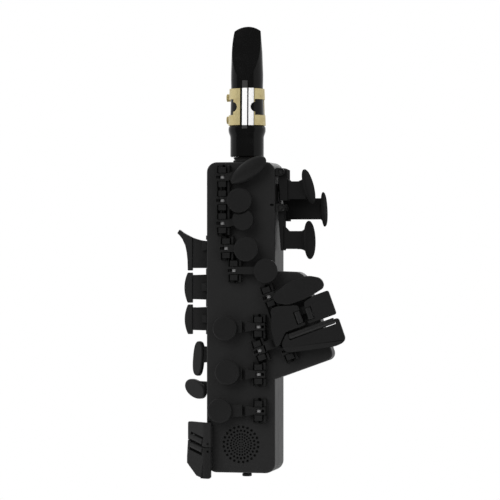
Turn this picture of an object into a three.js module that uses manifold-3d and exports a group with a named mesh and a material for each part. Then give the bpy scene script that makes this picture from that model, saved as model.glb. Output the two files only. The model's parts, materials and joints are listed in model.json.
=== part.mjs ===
// Straight electronic wind controller in the shape of a small saxophone.
// Lengths are in millimetres, +Z is up towards the mouthpiece and -Y is the front with the finger keys.
// The model's origin is the middle of the strap ring, from which the instrument hangs.
import * as THREE from "three";
import { mergeVertices } from "three/addons/utils/BufferGeometryUtils.js";
import Module from "manifold-3d";

const wasm = await Module();
wasm.setup();

// Driving sizes of the case
const bodyWidth = 49;
const bodyDepth = 35;
const bodyHeight = 218;
const bodyCorner = 7;
const wall = 2;
const frontCoverDepth = 12;
const frontEdge = 1.5;
const backEdge = 4;
const seam = 0.3;
const seatGap = 0.3;
const clearance = 0.3;
const overrun = 1;
const frontFace = -bodyDepth / 2;
const backFace = bodyDepth / 2;
const splitPlane = frontFace + frontCoverDepth;
const sideWall = bodyWidth / 2;

// Driving sizes shared by the key work
const rodRadius = 1.6;
const thinRodRadius = 1.2;
const barrelWall = 0.8;
const bracketBase = 0.6;
const boreRadius = rodRadius + clearance;
const barrelRadius = boreRadius + barrelWall;
const thinBore = thinRodRadius + clearance;
const thinBarrel = thinBore + barrelWall;
const pivotHeight = seatGap + bracketBase + clearance + barrelRadius;
const hub = { width: 5.2, back: 4.4, front: 4.8, low: 2.6 };
const hubWindow = { length: 5.9, width: 2.4, back: 0.6 };
const lever = { low: 3.4, top: 6.2, endWidth: 7.4 };
const lug = { width: 5.4, length: 4, top: 6.4 };
const bracket = { width: 8.6, length: 18 };
const lugPitch = hub.width / 2 + clearance + lug.length / 2;
const pad = { top: 9.2, thickness: 2.4, edge: 0.7, postRadius: 2.6 };
const longLever = { barLength: 9.6, armWidth: 6.4, armEndWidth: 9.6, step: 1 };

// Case
const wing = { left: -20, right: 28, bottom: -55.5, rightTop: 8, crestU: 3, crestV: 18.2, corner: 5 };
const lightSlot = { x: 21.6, z: 187.8, length: 2.7, width: 1.1 };
const grille = { x: 0.3, z: 20, radius: 12.5, hole: 0.95, rings: 4, pitch: 2.6, holes: 26, leastShare: 0.3 };
const neck = { y: 4.5, tube: 6, bore: 3.5, collar: 9.95, collarHeight: 3.6, depth: 9 };
const button = { flange: 3.4, cap: 2.6, flangeLow: 2.9, capLow: 4.1, keeper: 4.8, keeperHeight: 1.2 };
const pushStem = { radius: 2.4, y: 1 };
const boss = { radius: 2.4, x: 17.5, low: 32, high: bodyHeight - 22 };

// Inside the case
const board = { width: 40, low: 14, high: bodyHeight - 15, thickness: 1.6 };
const speakerSize = { radius: 14, depth: 5.4, magnet: 7 };
const battery = { width: 34, low: 84, high: 144, depth: 9 };
const sensorTop = bodyHeight - 18;
const sensor = { width: 9, low: sensorTop - 12, high: sensorTop, depth: 7, nozzle: 1.6, nozzleLength: 3 };

// Mouthpiece, reed and ligature
const shank = { radius: 11.9, length: 14.2, edge: 0.7 };
const shoulder = { radius: 13.2, low: 17.8, high: 21.4 };
const blade = { waist: 11.5, cheek: 11.3, jaw: 10.9, lip: 10.3, tip: 9.7 };
const grip = { low: 12.1, top: 11.3 };
const mouth = { length: 92.8, bore: 8.1, boreDepth: 34, tipRound: 15, ligatureLow: 22, ligatureHeight: 26.2 };
const mouthShares = { waist: 0.59, cheek: 0.69, jaw: 0.8, lip: 0.88, tip: 0.96 };
const beak = { startZ: 54, startY: -11.6, tipY: 3 };
const reedTable = { startZ: 21, startY: 8.4, tipY: 4.4 };
const airWay = { width: 10, depth: 5, low: 28, turn: 45, tipWall: 1.2, tipGap: 4.4, heel: 48 };
const tenonSize = { length: 21, corkLength: 19, corkOut: 7.8 };
const reedSize = { width: 13.6, heel: 22.6, vamp: 47, tipThickness: 0.5, tipBack: 1 };
const ligature = { wall: 0.6, windowHeight: 11.2, windowFrom: 37.5, windowTo: 118, bulge: 3.4, split: 3.2 };
const post = { width: 3, out: 5.2, height: 4.4 };
const screwSize = { radius: 1.1, headRadius: 2.8, headLength: 4.4, reach: 13.6, drop: 8 };

// Finger keys on the front, each at its pivot
const leftKeys = {
  front_f_key: { x: -11.8, z: 207.3, padX: 18.8, padZ: 4.5 },
  b_key: { x: -11.8, z: 191, padX: 12.5, padZ: -0.5, radius: 8.65 },
  bis_key: { x: -11.8, z: 175, padX: 15.2, padZ: 1.6, radius: 7.3 },
  a_key: { x: -9.1, z: 157.5, padX: 14.6, padZ: -0.6, radius: 8.65, pinned: true },
  g_key: { x: -3.6, z: 142, padX: 23.2, padZ: -0.2, radius: 8.5, pinned: true },
};
const rightKeys = {
  f_key: { x: 13.8, z: 102.7, padX: 23.3, padZ: -1.2, radius: 8.65 },
  e_key: { x: 13.9, z: 69.6, padX: 21.7, padZ: 1.2, radius: 8.8 },
  d_key: { x: 14, z: 44, padX: 27.2, padZ: -0.2, radius: 8.6 },
};
const egg = { length: 30, width: 12.6, rise: 5.4, low: 7, tilt: THREE.MathUtils.degToRad(35) };
const bisBite = { radius: 9.5 };

// Left little finger's table, which leans, drawn in its own plane about the G sharp pivot
const tableAngle = THREE.MathUtils.degToRad(20);
const tablePlace = { x: 21.3, z: 123.7 };
const plate = { low: 7.4, thickness: 2.4, edge: 0.5 };
const tableHinge = { gSharp: 0, cSharp: -17, bFlat: -39.3 };
const lowB = { u: -19, v: -33.1, neckLow: -35, neckHigh: -28.4, neckEnd: -4, neckBottom: 3.8 };
const arm = { low: 2.6, top: 4.6, width: 5.2 };
const tableReach = { gSharp: 14, cSharp: 36.4, bFlat: 24.4 };
const roller = { radius: 2.1, pin: 0.7, pinLength: 1.3, gap: 0.4 };
const gSharpPlate = { left: 3.4, right: 40.2, top: 4.6, bottom: -10.4, corner: 6 };
const gSharpShares = [[0, 0.7], [0.36, 1], [0.76, 1], [1, 0.66], [1, 0.2], [0.6, 0], [0.22, 0], [0, 0.3]];
const cSharpPlate = { left: 20.6, right: 41.7, bottom: -27.5, top: -10, corner: 1.5 };
const cSharpShares = [[0, 0], [1, 0], [1, 1], [0.05, 0.84]];
const bPlate = { left: -6.6, right: 18.6, bottom: -34.6, top: -8.4, corner: 1.2 };
const bShares = [[0.24, 1], [0.04, 0.46], [0, 0], [0.12, 0], [0.4, 0.27], [1, 0.27], [0.97, 0.84], [0.44, 1]];
const bFlatPlate = { left: -1.6, right: 42, top: -28.4, bottom: -48.3, corner: 3.5 };
const bFlatShares = [[0, 0.42], [0.1, 0.32], [0.79, 0], [0.97, 0], [1, 0.9], [0.125, 1], [0, 0.73]];
const bRoller = { u: 15.7, v0: -25, v1: -16.6 };
const cSharpRoller = { u: 23.9, v0: -24.9, v1: -16.7 };
const bFlatRoller = { v: -31.2, u0: 4.9, u1: 38.6 };

// Palm keys on the right side, hinged on pins along Y
const palm = { barWidth: 10, barTip: 2.2, barOut: 1.3, lug: 3, middleLug: 4, frontY: -8.3 };
const palmBackY = palm.frontY + palm.barWidth + palm.middleLug + 2 * clearance;
const palmTouch = { thickness: 2.6, edge: 0.9, stemDepth: 8, flareShare: 0.88, rootShare: 0.46 };
const palmKeys = {
  palm_d_key: {
    y: palm.frontY,
    z: 211,
    bar: 20,
    stem: { high: 6.6, low: 19, gusset: 1.5 },
    touch: { x: 17.2, z: -10.5, long: 25, deep: 15, lean: 14, flare: 3.4 },
    pinned: true,
  },
  palm_e_flat_key: {
    y: palmBackY,
    z: 200.6,
    bar: 24,
    stem: { high: 7.8, low: 22.7, gusset: 1.5 },
    touch: { x: 25.5, z: -15.7, long: 24.5, deep: 11, lean: 3, flare: 4.6 },
  },
  palm_f_key: {
    y: palm.frontY,
    z: 186,
    bar: 30,
    stem: { high: 16.4, low: 29, gusset: 6 },
    touch: { x: 17.9, z: -22.7, long: 27, deep: 17, lean: 2, flare: 7 },
    pinned: true,
  },
};

// Side keys on the left, hinged on one long rod along Z
const side = { y: 6, lug: 3, armThickness: 2.4, armEnd: -10, webThickness: 2.5 };
const sideTouch = { front: -16, back: -3, crown: 1.1 };
const sideHorn = { out: 19, top: 169.8 };
const sideKeys = {
  side_b_flat_key: { web: [99.7, 115.6], touch: [96.6, 117.7], out: 12, plateWidth: 3.5 },
  side_c_key: { web: [121.5, 138.6], touch: [119, 140.3], out: 13.2, plateWidth: 4.8 },
  side_e_key: { web: [143.5, 163.3], touch: [142, 160], out: 12.3, plateWidth: 3.7, horn: sideHorn },
};

// Push keys on the left side, each a touch on a stem that runs into the case
const pushAngle = THREE.MathUtils.degToRad(42);
const pushTouch = { thickness: 2.6, edge: 0.8, keeper: 3.6, keeperLength: 1 };
const pushKeys = [
  { name: "high_f_sharp_key", z: 84, lift: -4.5, long: 24.2, wide: 10.6, out: 8.6 },
  { name: "alt_f_sharp_key", z: 58.2, lift: -0.4, long: 13.4, wide: 21.4, out: 12.6 },
];

// Right little finger's keys, a short strip that faces the front and a long face that turns left
const pinkyAngle = THREE.MathUtils.degToRad(39);
const pinky = {
  edgeX: -24.1,
  height: 7.4,
  stripWidth: 4.3,
  face: 19.2,
  thickness: 2.4,
  top: 35.4,
  bottom: -3.9,
  divideLeft: 22.6,
  divideRight: 17.9,
  gap: 1,
  corner: 2.4,
  cornerLow: 1.8,
  cornerHigh: 10.5,
  rodX: -21.8,
};
const pinkyLug = { length: 3, width: 3.6 };
const pinkyBarrels = { lowEnd: 4, lowTop: 14.5, highEnd: 33 };
const pinkyRoller = { length: 13.6, from: 2.8, offset: 2.9 };

// Back of the case
const octave = { z: 168, halfBarrel: 6, lug: 2.6, touchLow: 6, touchHigh: 24, touchWidth: 13 };
const octaveFoot = { width: 21.2, low: -14, high: 8, thickness: 2, corner: 2.6 };
const hook = { z: 62, width: 13, reach: 19, drop: 12, thickness: 3.2 };
const hookFoot = { height: 26, thickness: 2, corner: 4 };
const ring = { z: 126, outer: 7.6, hole: 4.6, thickness: 3 };
const ringFoot = { width: 13, length: 20, thickness: 2, corner: 2 };

// Places worked out from the sizes
const boardFront = frontFace + wall + seatGap + speakerSize.depth + 2 * clearance;
const boardBack = boardFront + board.thickness;
const mouthZ = bodyHeight + seatGap + neck.collarHeight + clearance;
const screwY = grip.low + clearance + ligature.wall + post.out / 2;
const ligatureMiddle = mouth.ligatureLow + mouth.ligatureHeight / 2;
const plateTop = plate.low + plate.thickness;
const plateMiddle = plate.low + plate.thickness / 2;
const palmX = sideWall + seatGap + bracketBase + clearance + barrelRadius;
const sideX = -(sideWall + seatGap + bracketBase + clearance + thinBarrel);
const pinkyRodHeight = pinky.height - pinky.thickness - thinBarrel + clearance;
const pinkySlope = Math.atan2(pinky.divideLeft - pinky.divideRight, pinky.face);
const octaveHeight = seatGap + octaveFoot.thickness + clearance + thinBarrel;
const ringY = seatGap + ringFoot.thickness + ring.outer - wall / 2;

// Sides and steps of round work
const fineSides = 32;
const padSides = 24;
const rodSides = 12;
const roundSteps = 3;
const eggRings = 8;
const grilleSides = 4;
const mergeDistance = 1e-4;

function finish(color, roughness, metalness) {
  return new THREE.MeshStandardMaterial({ color, roughness, metalness });
}

const coverPlastic = finish(0x232323, 0.55, 0);
const keyPlastic = finish(0x252525, 0.5, 0);
const sidePlastic = finish(0x2b2b2b, 0.45, 0);
const ebonite = finish(0x101010, 0.15, 0);
const goldBrass = finish(0xcbb787, 0.2, 1);
const steel = finish(0xd8d8d8, 0.2, 1);
const corkSheet = finish(0xb98a5a, 0.9, 0);
const cane = finish(0xd9c38c, 0.7, 0);
const circuitBoard = finish(0x1f5a33, 0.6, 0);
const cellWrap = finish(0x8b9299, 0.4, 0);
const speakerPlastic = finish(0x2e2e2e, 0.7, 0);

// A closed geometry as a solid with its faces turned outwards.
function solidOf(geometry) {
  const bare = geometry.clone();
  bare.deleteAttribute("normal");
  bare.deleteAttribute("uv");
  const merged = mergeVertices(bare, mergeDistance);
  const corners = merged.index.array;
  const kept = [];
  for (let i = 0; i < corners.length; i += 3) {
    const [a, b, c] = [corners[i], corners[i + 1], corners[i + 2]];
    if (a !== b && b !== c && c !== a) kept.push(a, b, c);
  }
  const build = (triangles) =>
    new wasm.Manifold(
      new wasm.Mesh({
        numProp: 3,
        vertProperties: new Float32Array(merged.attributes.position.array),
        triVerts: new Uint32Array(triangles),
      }),
    );
  const solid = build(kept);
  return solid.volume() < 0 ? build(kept.reverse()) : solid;
}

function geometryOf(solid) {
  const mesh = solid.getMesh();
  const geometry = new THREE.BufferGeometry();
  geometry.setAttribute("position", new THREE.BufferAttribute(new Float32Array(mesh.vertProperties), 3));
  geometry.setIndex(new THREE.BufferAttribute(new Uint32Array(mesh.triVerts), 1));
  return geometry;
}

function join(first, ...others) {
  return geometryOf(others.reduce((sum, next) => sum.add(solidOf(next)), solidOf(first)));
}

function cut(body, ...tools) {
  return geometryOf(tools.reduce((rest, tool) => rest.subtract(solidOf(tool)), solidOf(body)));
}

function keepInside(body, ...limits) {
  return geometryOf(limits.reduce((rest, limit) => rest.intersect(solidOf(limit)), solidOf(body)));
}

function block(x0, x1, y0, y1, z0, z1) {
  const geometry = new THREE.BoxGeometry(Math.abs(x1 - x0), Math.abs(y1 - y0), Math.abs(z1 - z0));
  return geometry.translate((x0 + x1) / 2, (y0 + y1) / 2, (z0 + z1) / 2);
}

// A block in front of the plane Y = 0, between two heights above it.
function raisedBlock(x0, x1, z0, z1, low, high) {
  return block(x0, x1, -high, -low, z0, z1);
}

function rodAlongX(radius, x0, x1, y, z, sides = rodSides) {
  const geometry = new THREE.CylinderGeometry(radius, radius, Math.abs(x1 - x0), sides);
  return geometry.rotateZ(Math.PI / 2).translate((x0 + x1) / 2, y, z);
}

function rodAlongY(radius, y0, y1, x, z, sides = rodSides) {
  const geometry = new THREE.CylinderGeometry(radius, radius, Math.abs(y1 - y0), sides);
  return geometry.translate(x, (y0 + y1) / 2, z);
}

function rodAlongZ(radius, z0, z1, x, y, sides = rodSides) {
  const geometry = new THREE.CylinderGeometry(radius, radius, Math.abs(z1 - z0), sides);
  return geometry.rotateX(Math.PI / 2).translate(x, y, (z0 + z1) / 2);
}

// A polygon with each corner rounded, or less where an edge is short.
function roundedPolygon(points, radius) {
  const shape = new THREE.Shape();
  const halfEdge = 0.48;
  points.forEach(([x, y], i) => {
    const corner = new THREE.Vector2(x, y);
    const before = new THREE.Vector2(...points.at(i - 1)).sub(corner);
    const after = new THREE.Vector2(...points[(i + 1) % points.length]).sub(corner);
    const reach = Math.min(radius, before.length() * halfEdge, after.length() * halfEdge);
    const start = before.setLength(reach).add(corner);
    const end = after.setLength(reach).add(corner);
    if (i === 0) shape.moveTo(start.x, start.y);
    else shape.lineTo(start.x, start.y);
    shape.quadraticCurveTo(corner.x, corner.y, end.x, end.y);
  });
  shape.closePath();
  return shape;
}

function polygon(points) {
  return new THREE.Shape(points.map(([x, y]) => new THREE.Vector2(x, y)));
}

function roundedRectangle(x0, x1, z0, z1, radius) {
  return roundedPolygon([[x0, z0], [x1, z0], [x1, z1], [x0, z1]], radius);
}

function extruded(shape, depth, bevel = {}) {
  const settings = { depth, curveSegments: roundSteps, bevelEnabled: false, ...bevel };
  return new THREE.ExtrudeGeometry(shape, settings);
}

// A shape drawn in X and Z, made a plate between two heights in front of the plane Y = 0.
// An edge above zero breaks the plate's front edge all round.
function frontPlate(shape, low, high, edge = 0) {
  const thickness = high - low;
  if (edge === 0) return extruded(shape, thickness).rotateX(Math.PI / 2).translate(0, -low, 0);
  const crown = extruded(shape, thickness - 2 * edge, {
    bevelEnabled: true,
    bevelThickness: edge,
    bevelSize: edge,
    bevelOffset: -edge,
    bevelSegments: 1,
  });
  const plain = extruded(shape, thickness - edge);
  return join(plain, crown.translate(0, 0, edge)).rotateX(Math.PI / 2).translate(0, -low, 0);
}

// A shape drawn in Y and Z, made a plate between two places along X.
function sidePlate(shape, x0, x1) {
  const geometry = extruded(shape, Math.abs(x1 - x0));
  return geometry.rotateX(Math.PI / 2).rotateZ(Math.PI / 2).translate(Math.min(x0, x1), 0, 0);
}

// A round solid about the Z axis from pairs of radius and height.
function turned(profile, sides = fineSides) {
  const points = profile.map(([radius, z]) => new THREE.Vector2(radius, z));
  return new THREE.LatheGeometry(points, sides).rotateX(Math.PI / 2);
}

// A round touch pad facing the front, with a broken top edge.
function roundPad(radius, x, z) {
  const low = pad.top - pad.thickness;
  const profile = [
    [0, -low],
    [radius, -low],
    [radius, pad.edge - pad.top],
    [radius - pad.edge, -pad.top],
    [0, -pad.top],
  ];
  const points = profile.map(([r, y]) => new THREE.Vector2(r, y));
  return new THREE.LatheGeometry(points, padSides).translate(x, 0, z);
}

function piece(name, geometry, material, place = [0, 0, 0]) {
  const mesh = new THREE.Mesh(geometryOf(solidOf(geometry)), material);
  mesh.name = name;
  mesh.position.set(...place);
  return mesh;
}

// Case

function wingOutline(inset) {
  const left = wing.left + inset;
  const right = wing.right - inset;
  return roundedPolygon(
    [
      [left, wing.bottom + inset],
      [right, wing.bottom + inset],
      [right, wing.rightTop - inset],
      [wing.crestU, wing.crestV - inset],
      [left, 0],
    ],
    wing.corner - inset,
  );
}

function onTable(geometry) {
  return geometry.rotateY(-tableAngle).translate(tablePlace.x, 0, tablePlace.z);
}

function bodySlab(inset, low, high, edge = 0) {
  const half = sideWall - inset;
  const outline = roundedRectangle(-half, half, inset, bodyHeight - inset, bodyCorner - inset);
  return frontPlate(outline, low, high, edge);
}

// Rings of sound holes, with fewer and smaller holes towards the middle.
function grilleHoles() {
  const holes = [];
  for (let ring = 0; ring < grille.rings; ring += 1) {
    const share = 1 - (ring * grille.pitch) / grille.radius;
    const size = grille.leastShare + (1 - grille.leastShare) * share;
    const count = Math.round(grille.holes * size);
    for (let i = 0; i < count; i += 1) {
      const angle = ((i + ring / 2) / count) * 2 * Math.PI;
      const x = grille.x + grille.radius * share * Math.cos(angle);
      const z = grille.z + grille.radius * share * Math.sin(angle);
      holes.push(rodAlongY(grille.hole * size, -overrun, wall + overrun, x, z, grilleSides));
    }
  }
  return holes;
}

// Two moulded lugs and a middle one that hold the rod of the right little finger's keys.
function pinkyLugSpans() {
  const { lowEnd, lowTop, highEnd } = pinkyBarrels;
  return [
    [lowEnd - clearance - pinkyLug.length, lowEnd - clearance],
    [lowTop + clearance, lowTop + clearance + pinkyLug.length],
    [highEnd + clearance, highEnd + clearance + pinkyLug.length],
  ];
}

function pinkyLugs() {
  const half = pinkyLug.width / 2;
  return pinkyLugSpans().map(([z0, z1]) =>
    block(pinky.rodX - half, pinky.rodX + half, -pinkyRodHeight - thinBarrel / 2, wall / 2, z0, z1),
  );
}

function frontCover() {
  const body = bodySlab(0, 0, frontCoverDepth, frontEdge).translate(0, frontCoverDepth, 0);
  const wingPlate = frontPlate(wingOutline(0), 0, frontCoverDepth, frontEdge);
  const shell = join(body, onTable(wingPlate).translate(0, frontCoverDepth, 0), ...pinkyLugs());
  const bodyRoom = bodySlab(wall, 0, frontCoverDepth - wall + overrun);
  const wingRoom = frontPlate(wingOutline(wall), 0, frontCoverDepth - 2 * wall);
  const halfSlot = lightSlot.length / 2;
  const light = roundedRectangle(
    lightSlot.x - halfSlot,
    lightSlot.x + halfSlot,
    lightSlot.z - lightSlot.width / 2,
    lightSlot.z + lightSlot.width / 2,
    lightSlot.width / 2,
  );
  const spans = pinkyLugSpans();
  const rodBore = rodAlongZ(
    thinBore,
    spans[0][0] - overrun,
    spans.at(-1)[1] + overrun,
    pinky.rodX,
    -pinkyRodHeight,
  );
  return cut(
    shell,
    bodyRoom.translate(0, frontCoverDepth + overrun, 0),
    onTable(wingRoom).translate(0, frontCoverDepth - wall, 0),
    frontPlate(light, -wall - overrun, overrun),
    rodBore,
    ...grilleHoles(),
  );
}

function rearCover() {
  const depth = bodyDepth - frontCoverDepth - seam;
  const outside = bodySlab(0, 0, depth, backEdge).rotateZ(Math.PI).translate(0, splitPlane + seam, 0);
  const room = bodySlab(wall, 0, depth - wall + overrun, wall).rotateZ(Math.PI);
  room.translate(0, splitPlane + seam - overrun, 0);
  const bossEnd = backFace - wall / 2;
  const bosses = [-boss.x, boss.x].flatMap((x) =>
    [boss.low, boss.high].map((z) => rodAlongY(boss.radius, boardBack + seatGap, bossEnd, x, z)),
  );
  const stemWay = pushStem.radius + clearance;
  const inside = wall + overrun - sideWall;
  const stems = pushKeys.map(({ z }) => rodAlongX(stemWay, -sideWall - overrun, inside, pushStem.y, z));
  const socket = rodAlongZ(
    neck.tube + clearance,
    bodyHeight - wall - overrun,
    bodyHeight + overrun,
    0,
    neck.y,
    fineSides,
  );
  const buttonWay = button.flange + 2 * clearance;
  const buttonHole = rodAlongZ(buttonWay, -overrun, wall + overrun, 0, neck.y, padSides);
  return join(cut(outside, room, socket, buttonHole, ...stems), ...bosses);
}

function mainBoard() {
  return block(-board.width / 2, board.width / 2, boardFront, boardBack, board.low, board.high);
}

function speakerUnit() {
  const front = frontFace + wall + seatGap;
  const { radius, depth, magnet } = speakerSize;
  const rim = rodAlongY(radius, front, front + depth / 2, grille.x, grille.z, padSides);
  return join(rim, rodAlongY(magnet, front, front + depth, grille.x, grille.z, padSides));
}

function batteryCell() {
  const back = backFace - wall - seatGap;
  const { width, low, high, depth } = battery;
  const outline = roundedRectangle(-width / 2, width / 2, low, high, depth / 4);
  return frontPlate(outline, -back, depth - back);
}

function breathSensor() {
  const back = boardBack + seatGap;
  const { width, low, high, depth, nozzle, nozzleLength } = sensor;
  const can = block(-width / 2, width / 2, back, back + depth, low, high);
  return join(can, rodAlongZ(nozzle, high - overrun, high + nozzleLength, 0, back + depth / 2));
}

// The neck is drawn from the foot of the case, and the mouthpiece from the end of its own shank.
function neckTenon() {
  const top = mouthZ + tenonSize.length;
  const seat = bodyHeight + seatGap;
  const cuff = neck.tube - clearance;
  const profile = [
    [neck.bore, bodyHeight - neck.depth],
    [neck.tube, bodyHeight - neck.depth],
    [neck.tube, seat],
    [neck.collar, seat],
    [neck.collar, seat + neck.collarHeight],
    [cuff, seat + neck.collarHeight],
    [cuff, top],
    [neck.bore, top],
    [neck.bore, bodyHeight - neck.depth],
  ];
  return turned(profile);
}

function tenonCork() {
  const inner = neck.tube;
  const outer = tenonSize.corkOut;
  const top = mouthZ + tenonSize.corkLength;
  return turned([[inner, mouthZ], [outer, mouthZ], [outer, top], [inner, top], [inner, mouthZ]]);
}

// Where the flat table under the reed lies at a height above the shank's end.
function tableY(z) {
  const share = (z - reedTable.startZ) / (mouth.length - reedTable.startZ);
  return reedTable.startY + (reedTable.tipY - reedTable.startY) * share;
}

function beakY(z) {
  const share = (z - beak.startZ) / (mouth.length - beak.startZ);
  return beak.startY + (beak.tipY - beak.startY) * share;
}

function tipLimit() {
  const wide = 2 * shoulder.radius;
  const centre = mouth.length - mouth.tipRound;
  const round = rodAlongY(mouth.tipRound, -wide, wide, 0, centre, 2 * fineSides);
  return join(round, block(-wide, wide, -wide, wide, -overrun, centre));
}

function mouthpiece() {
  const ligatureTop = mouth.ligatureLow + mouth.ligatureHeight;
  const outside = turned([
    [0, 0],
    [shank.radius - shank.edge, 0],
    [shank.radius, shank.edge],
    [shank.radius, shank.length],
    [shoulder.radius, shoulder.low],
    [shoulder.radius, shoulder.high],
    [grip.low, mouth.ligatureLow],
    [grip.top, ligatureTop],
    [blade.waist, mouth.length * mouthShares.waist],
    [blade.cheek, mouth.length * mouthShares.cheek],
    [blade.jaw, mouth.length * mouthShares.jaw],
    [blade.lip, mouth.length * mouthShares.lip],
    [blade.tip, mouth.length * mouthShares.tip],
    [blade.tip, mouth.length + overrun],
    [0, mouth.length + overrun],
  ]);
  const wide = 2 * shoulder.radius;
  const past = mouth.length + wide;
  const slopeStart = beak.startZ - wide;
  const slope = polygon([[beakY(slopeStart), slopeStart], [beakY(past), past], [beakY(slopeStart), past]]);
  const flat = polygon([
    [tableY(reedTable.startZ), reedTable.startZ],
    [wide, reedTable.startZ],
    [wide, past],
    [tableY(past), past],
  ]);
  const { width, depth, low, turn, tipWall, tipGap, heel } = airWay;
  const tipZ = mouth.length - tipGap;
  const way = polygon([
    [-depth, low],
    [depth, low],
    [depth, turn - depth],
    [wide, heel],
    [wide, tipZ],
    [beakY(tipZ) + tipWall, tipZ],
    [-depth, turn],
  ]);
  const solid = keepInside(outside, tipLimit());
  return cut(
    solid,
    sidePlate(slope, -wide, wide),
    sidePlate(flat, -wide, wide),
    rodAlongZ(mouth.bore, -overrun, mouth.boreDepth, 0, 0, padSides),
    sidePlate(way, -width / 2, width / 2),
  );
}

function reed() {
  const wide = 2 * shoulder.radius;
  const top = mouth.length - reedSize.tipBack;
  const underside = (z) => tableY(z) + clearance;
  const ligatureTop = mouth.ligatureLow + mouth.ligatureHeight;
  const strip = polygon([
    [underside(reedSize.heel), reedSize.heel],
    [wide, reedSize.heel],
    [wide, reedSize.vamp],
    [grip.top, ligatureTop],
    [underside(top) + reedSize.tipThickness, top],
    [underside(top), top],
  ]);
  const bark = turned([
    [0, 0],
    [grip.low, 0],
    [grip.low, mouth.ligatureLow],
    [grip.top, ligatureTop],
    [grip.top, mouth.length],
    [0, mouth.length],
  ]);
  return keepInside(sidePlate(strip, -reedSize.width / 2, reedSize.width / 2), bark, tipLimit());
}

function ligatureBand() {
  const low = mouth.ligatureLow + clearance;
  const top = mouth.ligatureLow + mouth.ligatureHeight;
  const insideLow = grip.low + clearance;
  const insideTop = grip.top + clearance;
  const band = turned([
    [0, low],
    [insideLow + ligature.wall, low],
    [insideTop + ligature.wall, top],
    [0, top],
  ]);
  const room = turned([
    [0, low - overrun],
    [insideLow, low - overrun],
    [insideLow, low],
    [insideTop, top],
    [insideTop, top + overrun],
    [0, top + overrun],
  ]);
  const postAt = (way, z) =>
    block(
      way * ligature.split,
      way * (ligature.split + post.width),
      insideTop - post.width,
      insideLow + ligature.wall + post.out,
      z - post.height / 2,
      z + post.height / 2,
    );
  const posts = [-1, 1].flatMap((way) =>
    [-1, 1].map((end) => postAt(way, ligatureMiddle + end * screwSize.drop)),
  );
  const windows = [-1, 1].flatMap((way) => {
    const far = 2 * insideLow;
    const at = (degrees) => {
      const angle = THREE.MathUtils.degToRad(degrees);
      return [way * far * Math.sin(angle), -far * Math.cos(angle)];
    };
    const middle = (ligature.windowFrom + ligature.windowTo) / 2;
    const sector = polygon([[0, 0], at(ligature.windowFrom), at(middle), at(ligature.windowTo)]);
    const wedge = extruded(sector, ligature.windowHeight);
    const bulge = rodAlongY(ligature.bulge, -far, 0, 0, ligatureMiddle);
    bulge.rotateZ(way * THREE.MathUtils.degToRad(ligature.windowFrom));
    return [wedge.translate(0, 0, ligatureMiddle - ligature.windowHeight / 2), bulge];
  });
  const gap = block(-ligature.split, ligature.split, 0, 2 * insideLow, low - overrun, top + overrun);
  const { radius, reach, drop } = screwSize;
  const screwWays = [-drop, drop].map((z) =>
    rodAlongX(radius + clearance, -2 * reach, 2 * reach, screwY, ligatureMiddle + z),
  );
  return cut(join(band, ...posts), room, gap, ...windows, ...screwWays);
}

// A thumb screw whose shank crosses both posts, drawn about its own axis.
function ligatureScrew() {
  const outer = ligature.split + post.width;
  const { radius, headRadius, headLength, reach } = screwSize;
  const shaft = rodAlongX(radius, -reach - headLength / 2, outer + overrun, 0, 0);
  return join(shaft, rodAlongX(headRadius, -reach - headLength, -reach, 0, 0, padSides));
}

// Key work on the front. A key is drawn about the foot of its pivot, with its pad towards +X or -X.
// A hub with a barrel round the rod, a flat top and a window onto the rod.
// A pinned hub has no bore: its own pin turns in the bracket.
function withHub(way, pinned, ...rest) {
  const half = hub.width / 2;
  const barrel = rodAlongZ(barrelRadius, -half, half, 0, -pivotHeight);
  const top = raisedBlock(-way * hub.back, way * hub.front, -half, half, hub.low, lever.top);
  const windowStart = -way * (hubWindow.back + hubWindow.length / 2);
  const windowEnd = windowStart + way * hubWindow.length;
  const halfWindow = hubWindow.width / 2;
  const above = lever.top + overrun;
  const window = raisedBlock(windowStart, windowEnd, -halfWindow, halfWindow, pivotHeight, above);
  const whole = join(barrel, top, ...rest);
  if (!pinned) return cut(whole, rodBore(hub.width + overrun), window);
  const reach = lugPitch + lug.length / 2;
  return join(cut(whole, window), rodAlongZ(rodRadius, -reach, reach, 0, -pivotHeight));
}

function stackKey({ padX, padZ, radius, pinned }, touch = roundPad(radius, padX, padZ)) {
  const half = hub.width / 2;
  const padLow = pad.top - pad.thickness;
  const bar = polygon([
    [0, -half],
    [hub.front, -half],
    [padX, padZ - half],
    [padX, padZ + half],
    [hub.front, half],
    [0, half],
  ]);
  const post = rodAlongY(pad.postRadius, -padLow - pad.edge, -lever.low, padX, padZ);
  return withHub(1, pinned, frontPlate(bar, lever.low, lever.top), post, touch);
}

// Right-hand levers widen away from the rod, and a step leads to the arm under the pad.
function longKey({ padX, padZ, radius }) {
  const half = hub.width / 2;
  const wide = lever.endWidth / 2;
  const padLow = pad.top - pad.thickness;
  const barEnd = longLever.barLength;
  const bar = polygon([
    [0, -half],
    [0, half],
    [-hub.front, half],
    [-barEnd, wide],
    [-barEnd, -wide],
    [-hub.front, -half],
  ]);
  const underArm = polygon([
    [-barEnd + overrun, -longLever.armWidth / 2],
    [-barEnd + overrun, longLever.armWidth / 2],
    [-padX, padZ + longLever.armEndWidth / 2],
    [-padX, padZ - longLever.armEndWidth / 2],
  ]);
  const post = rodAlongY(pad.postRadius, -padLow - pad.edge, -lever.low, -padX, padZ);
  return withHub(
    -1,
    false,
    frontPlate(bar, lever.low, lever.top),
    frontPlate(underArm, lever.low, lever.top - longLever.step),
    post,
    roundPad(radius, -padX, padZ),
  );
}

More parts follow.
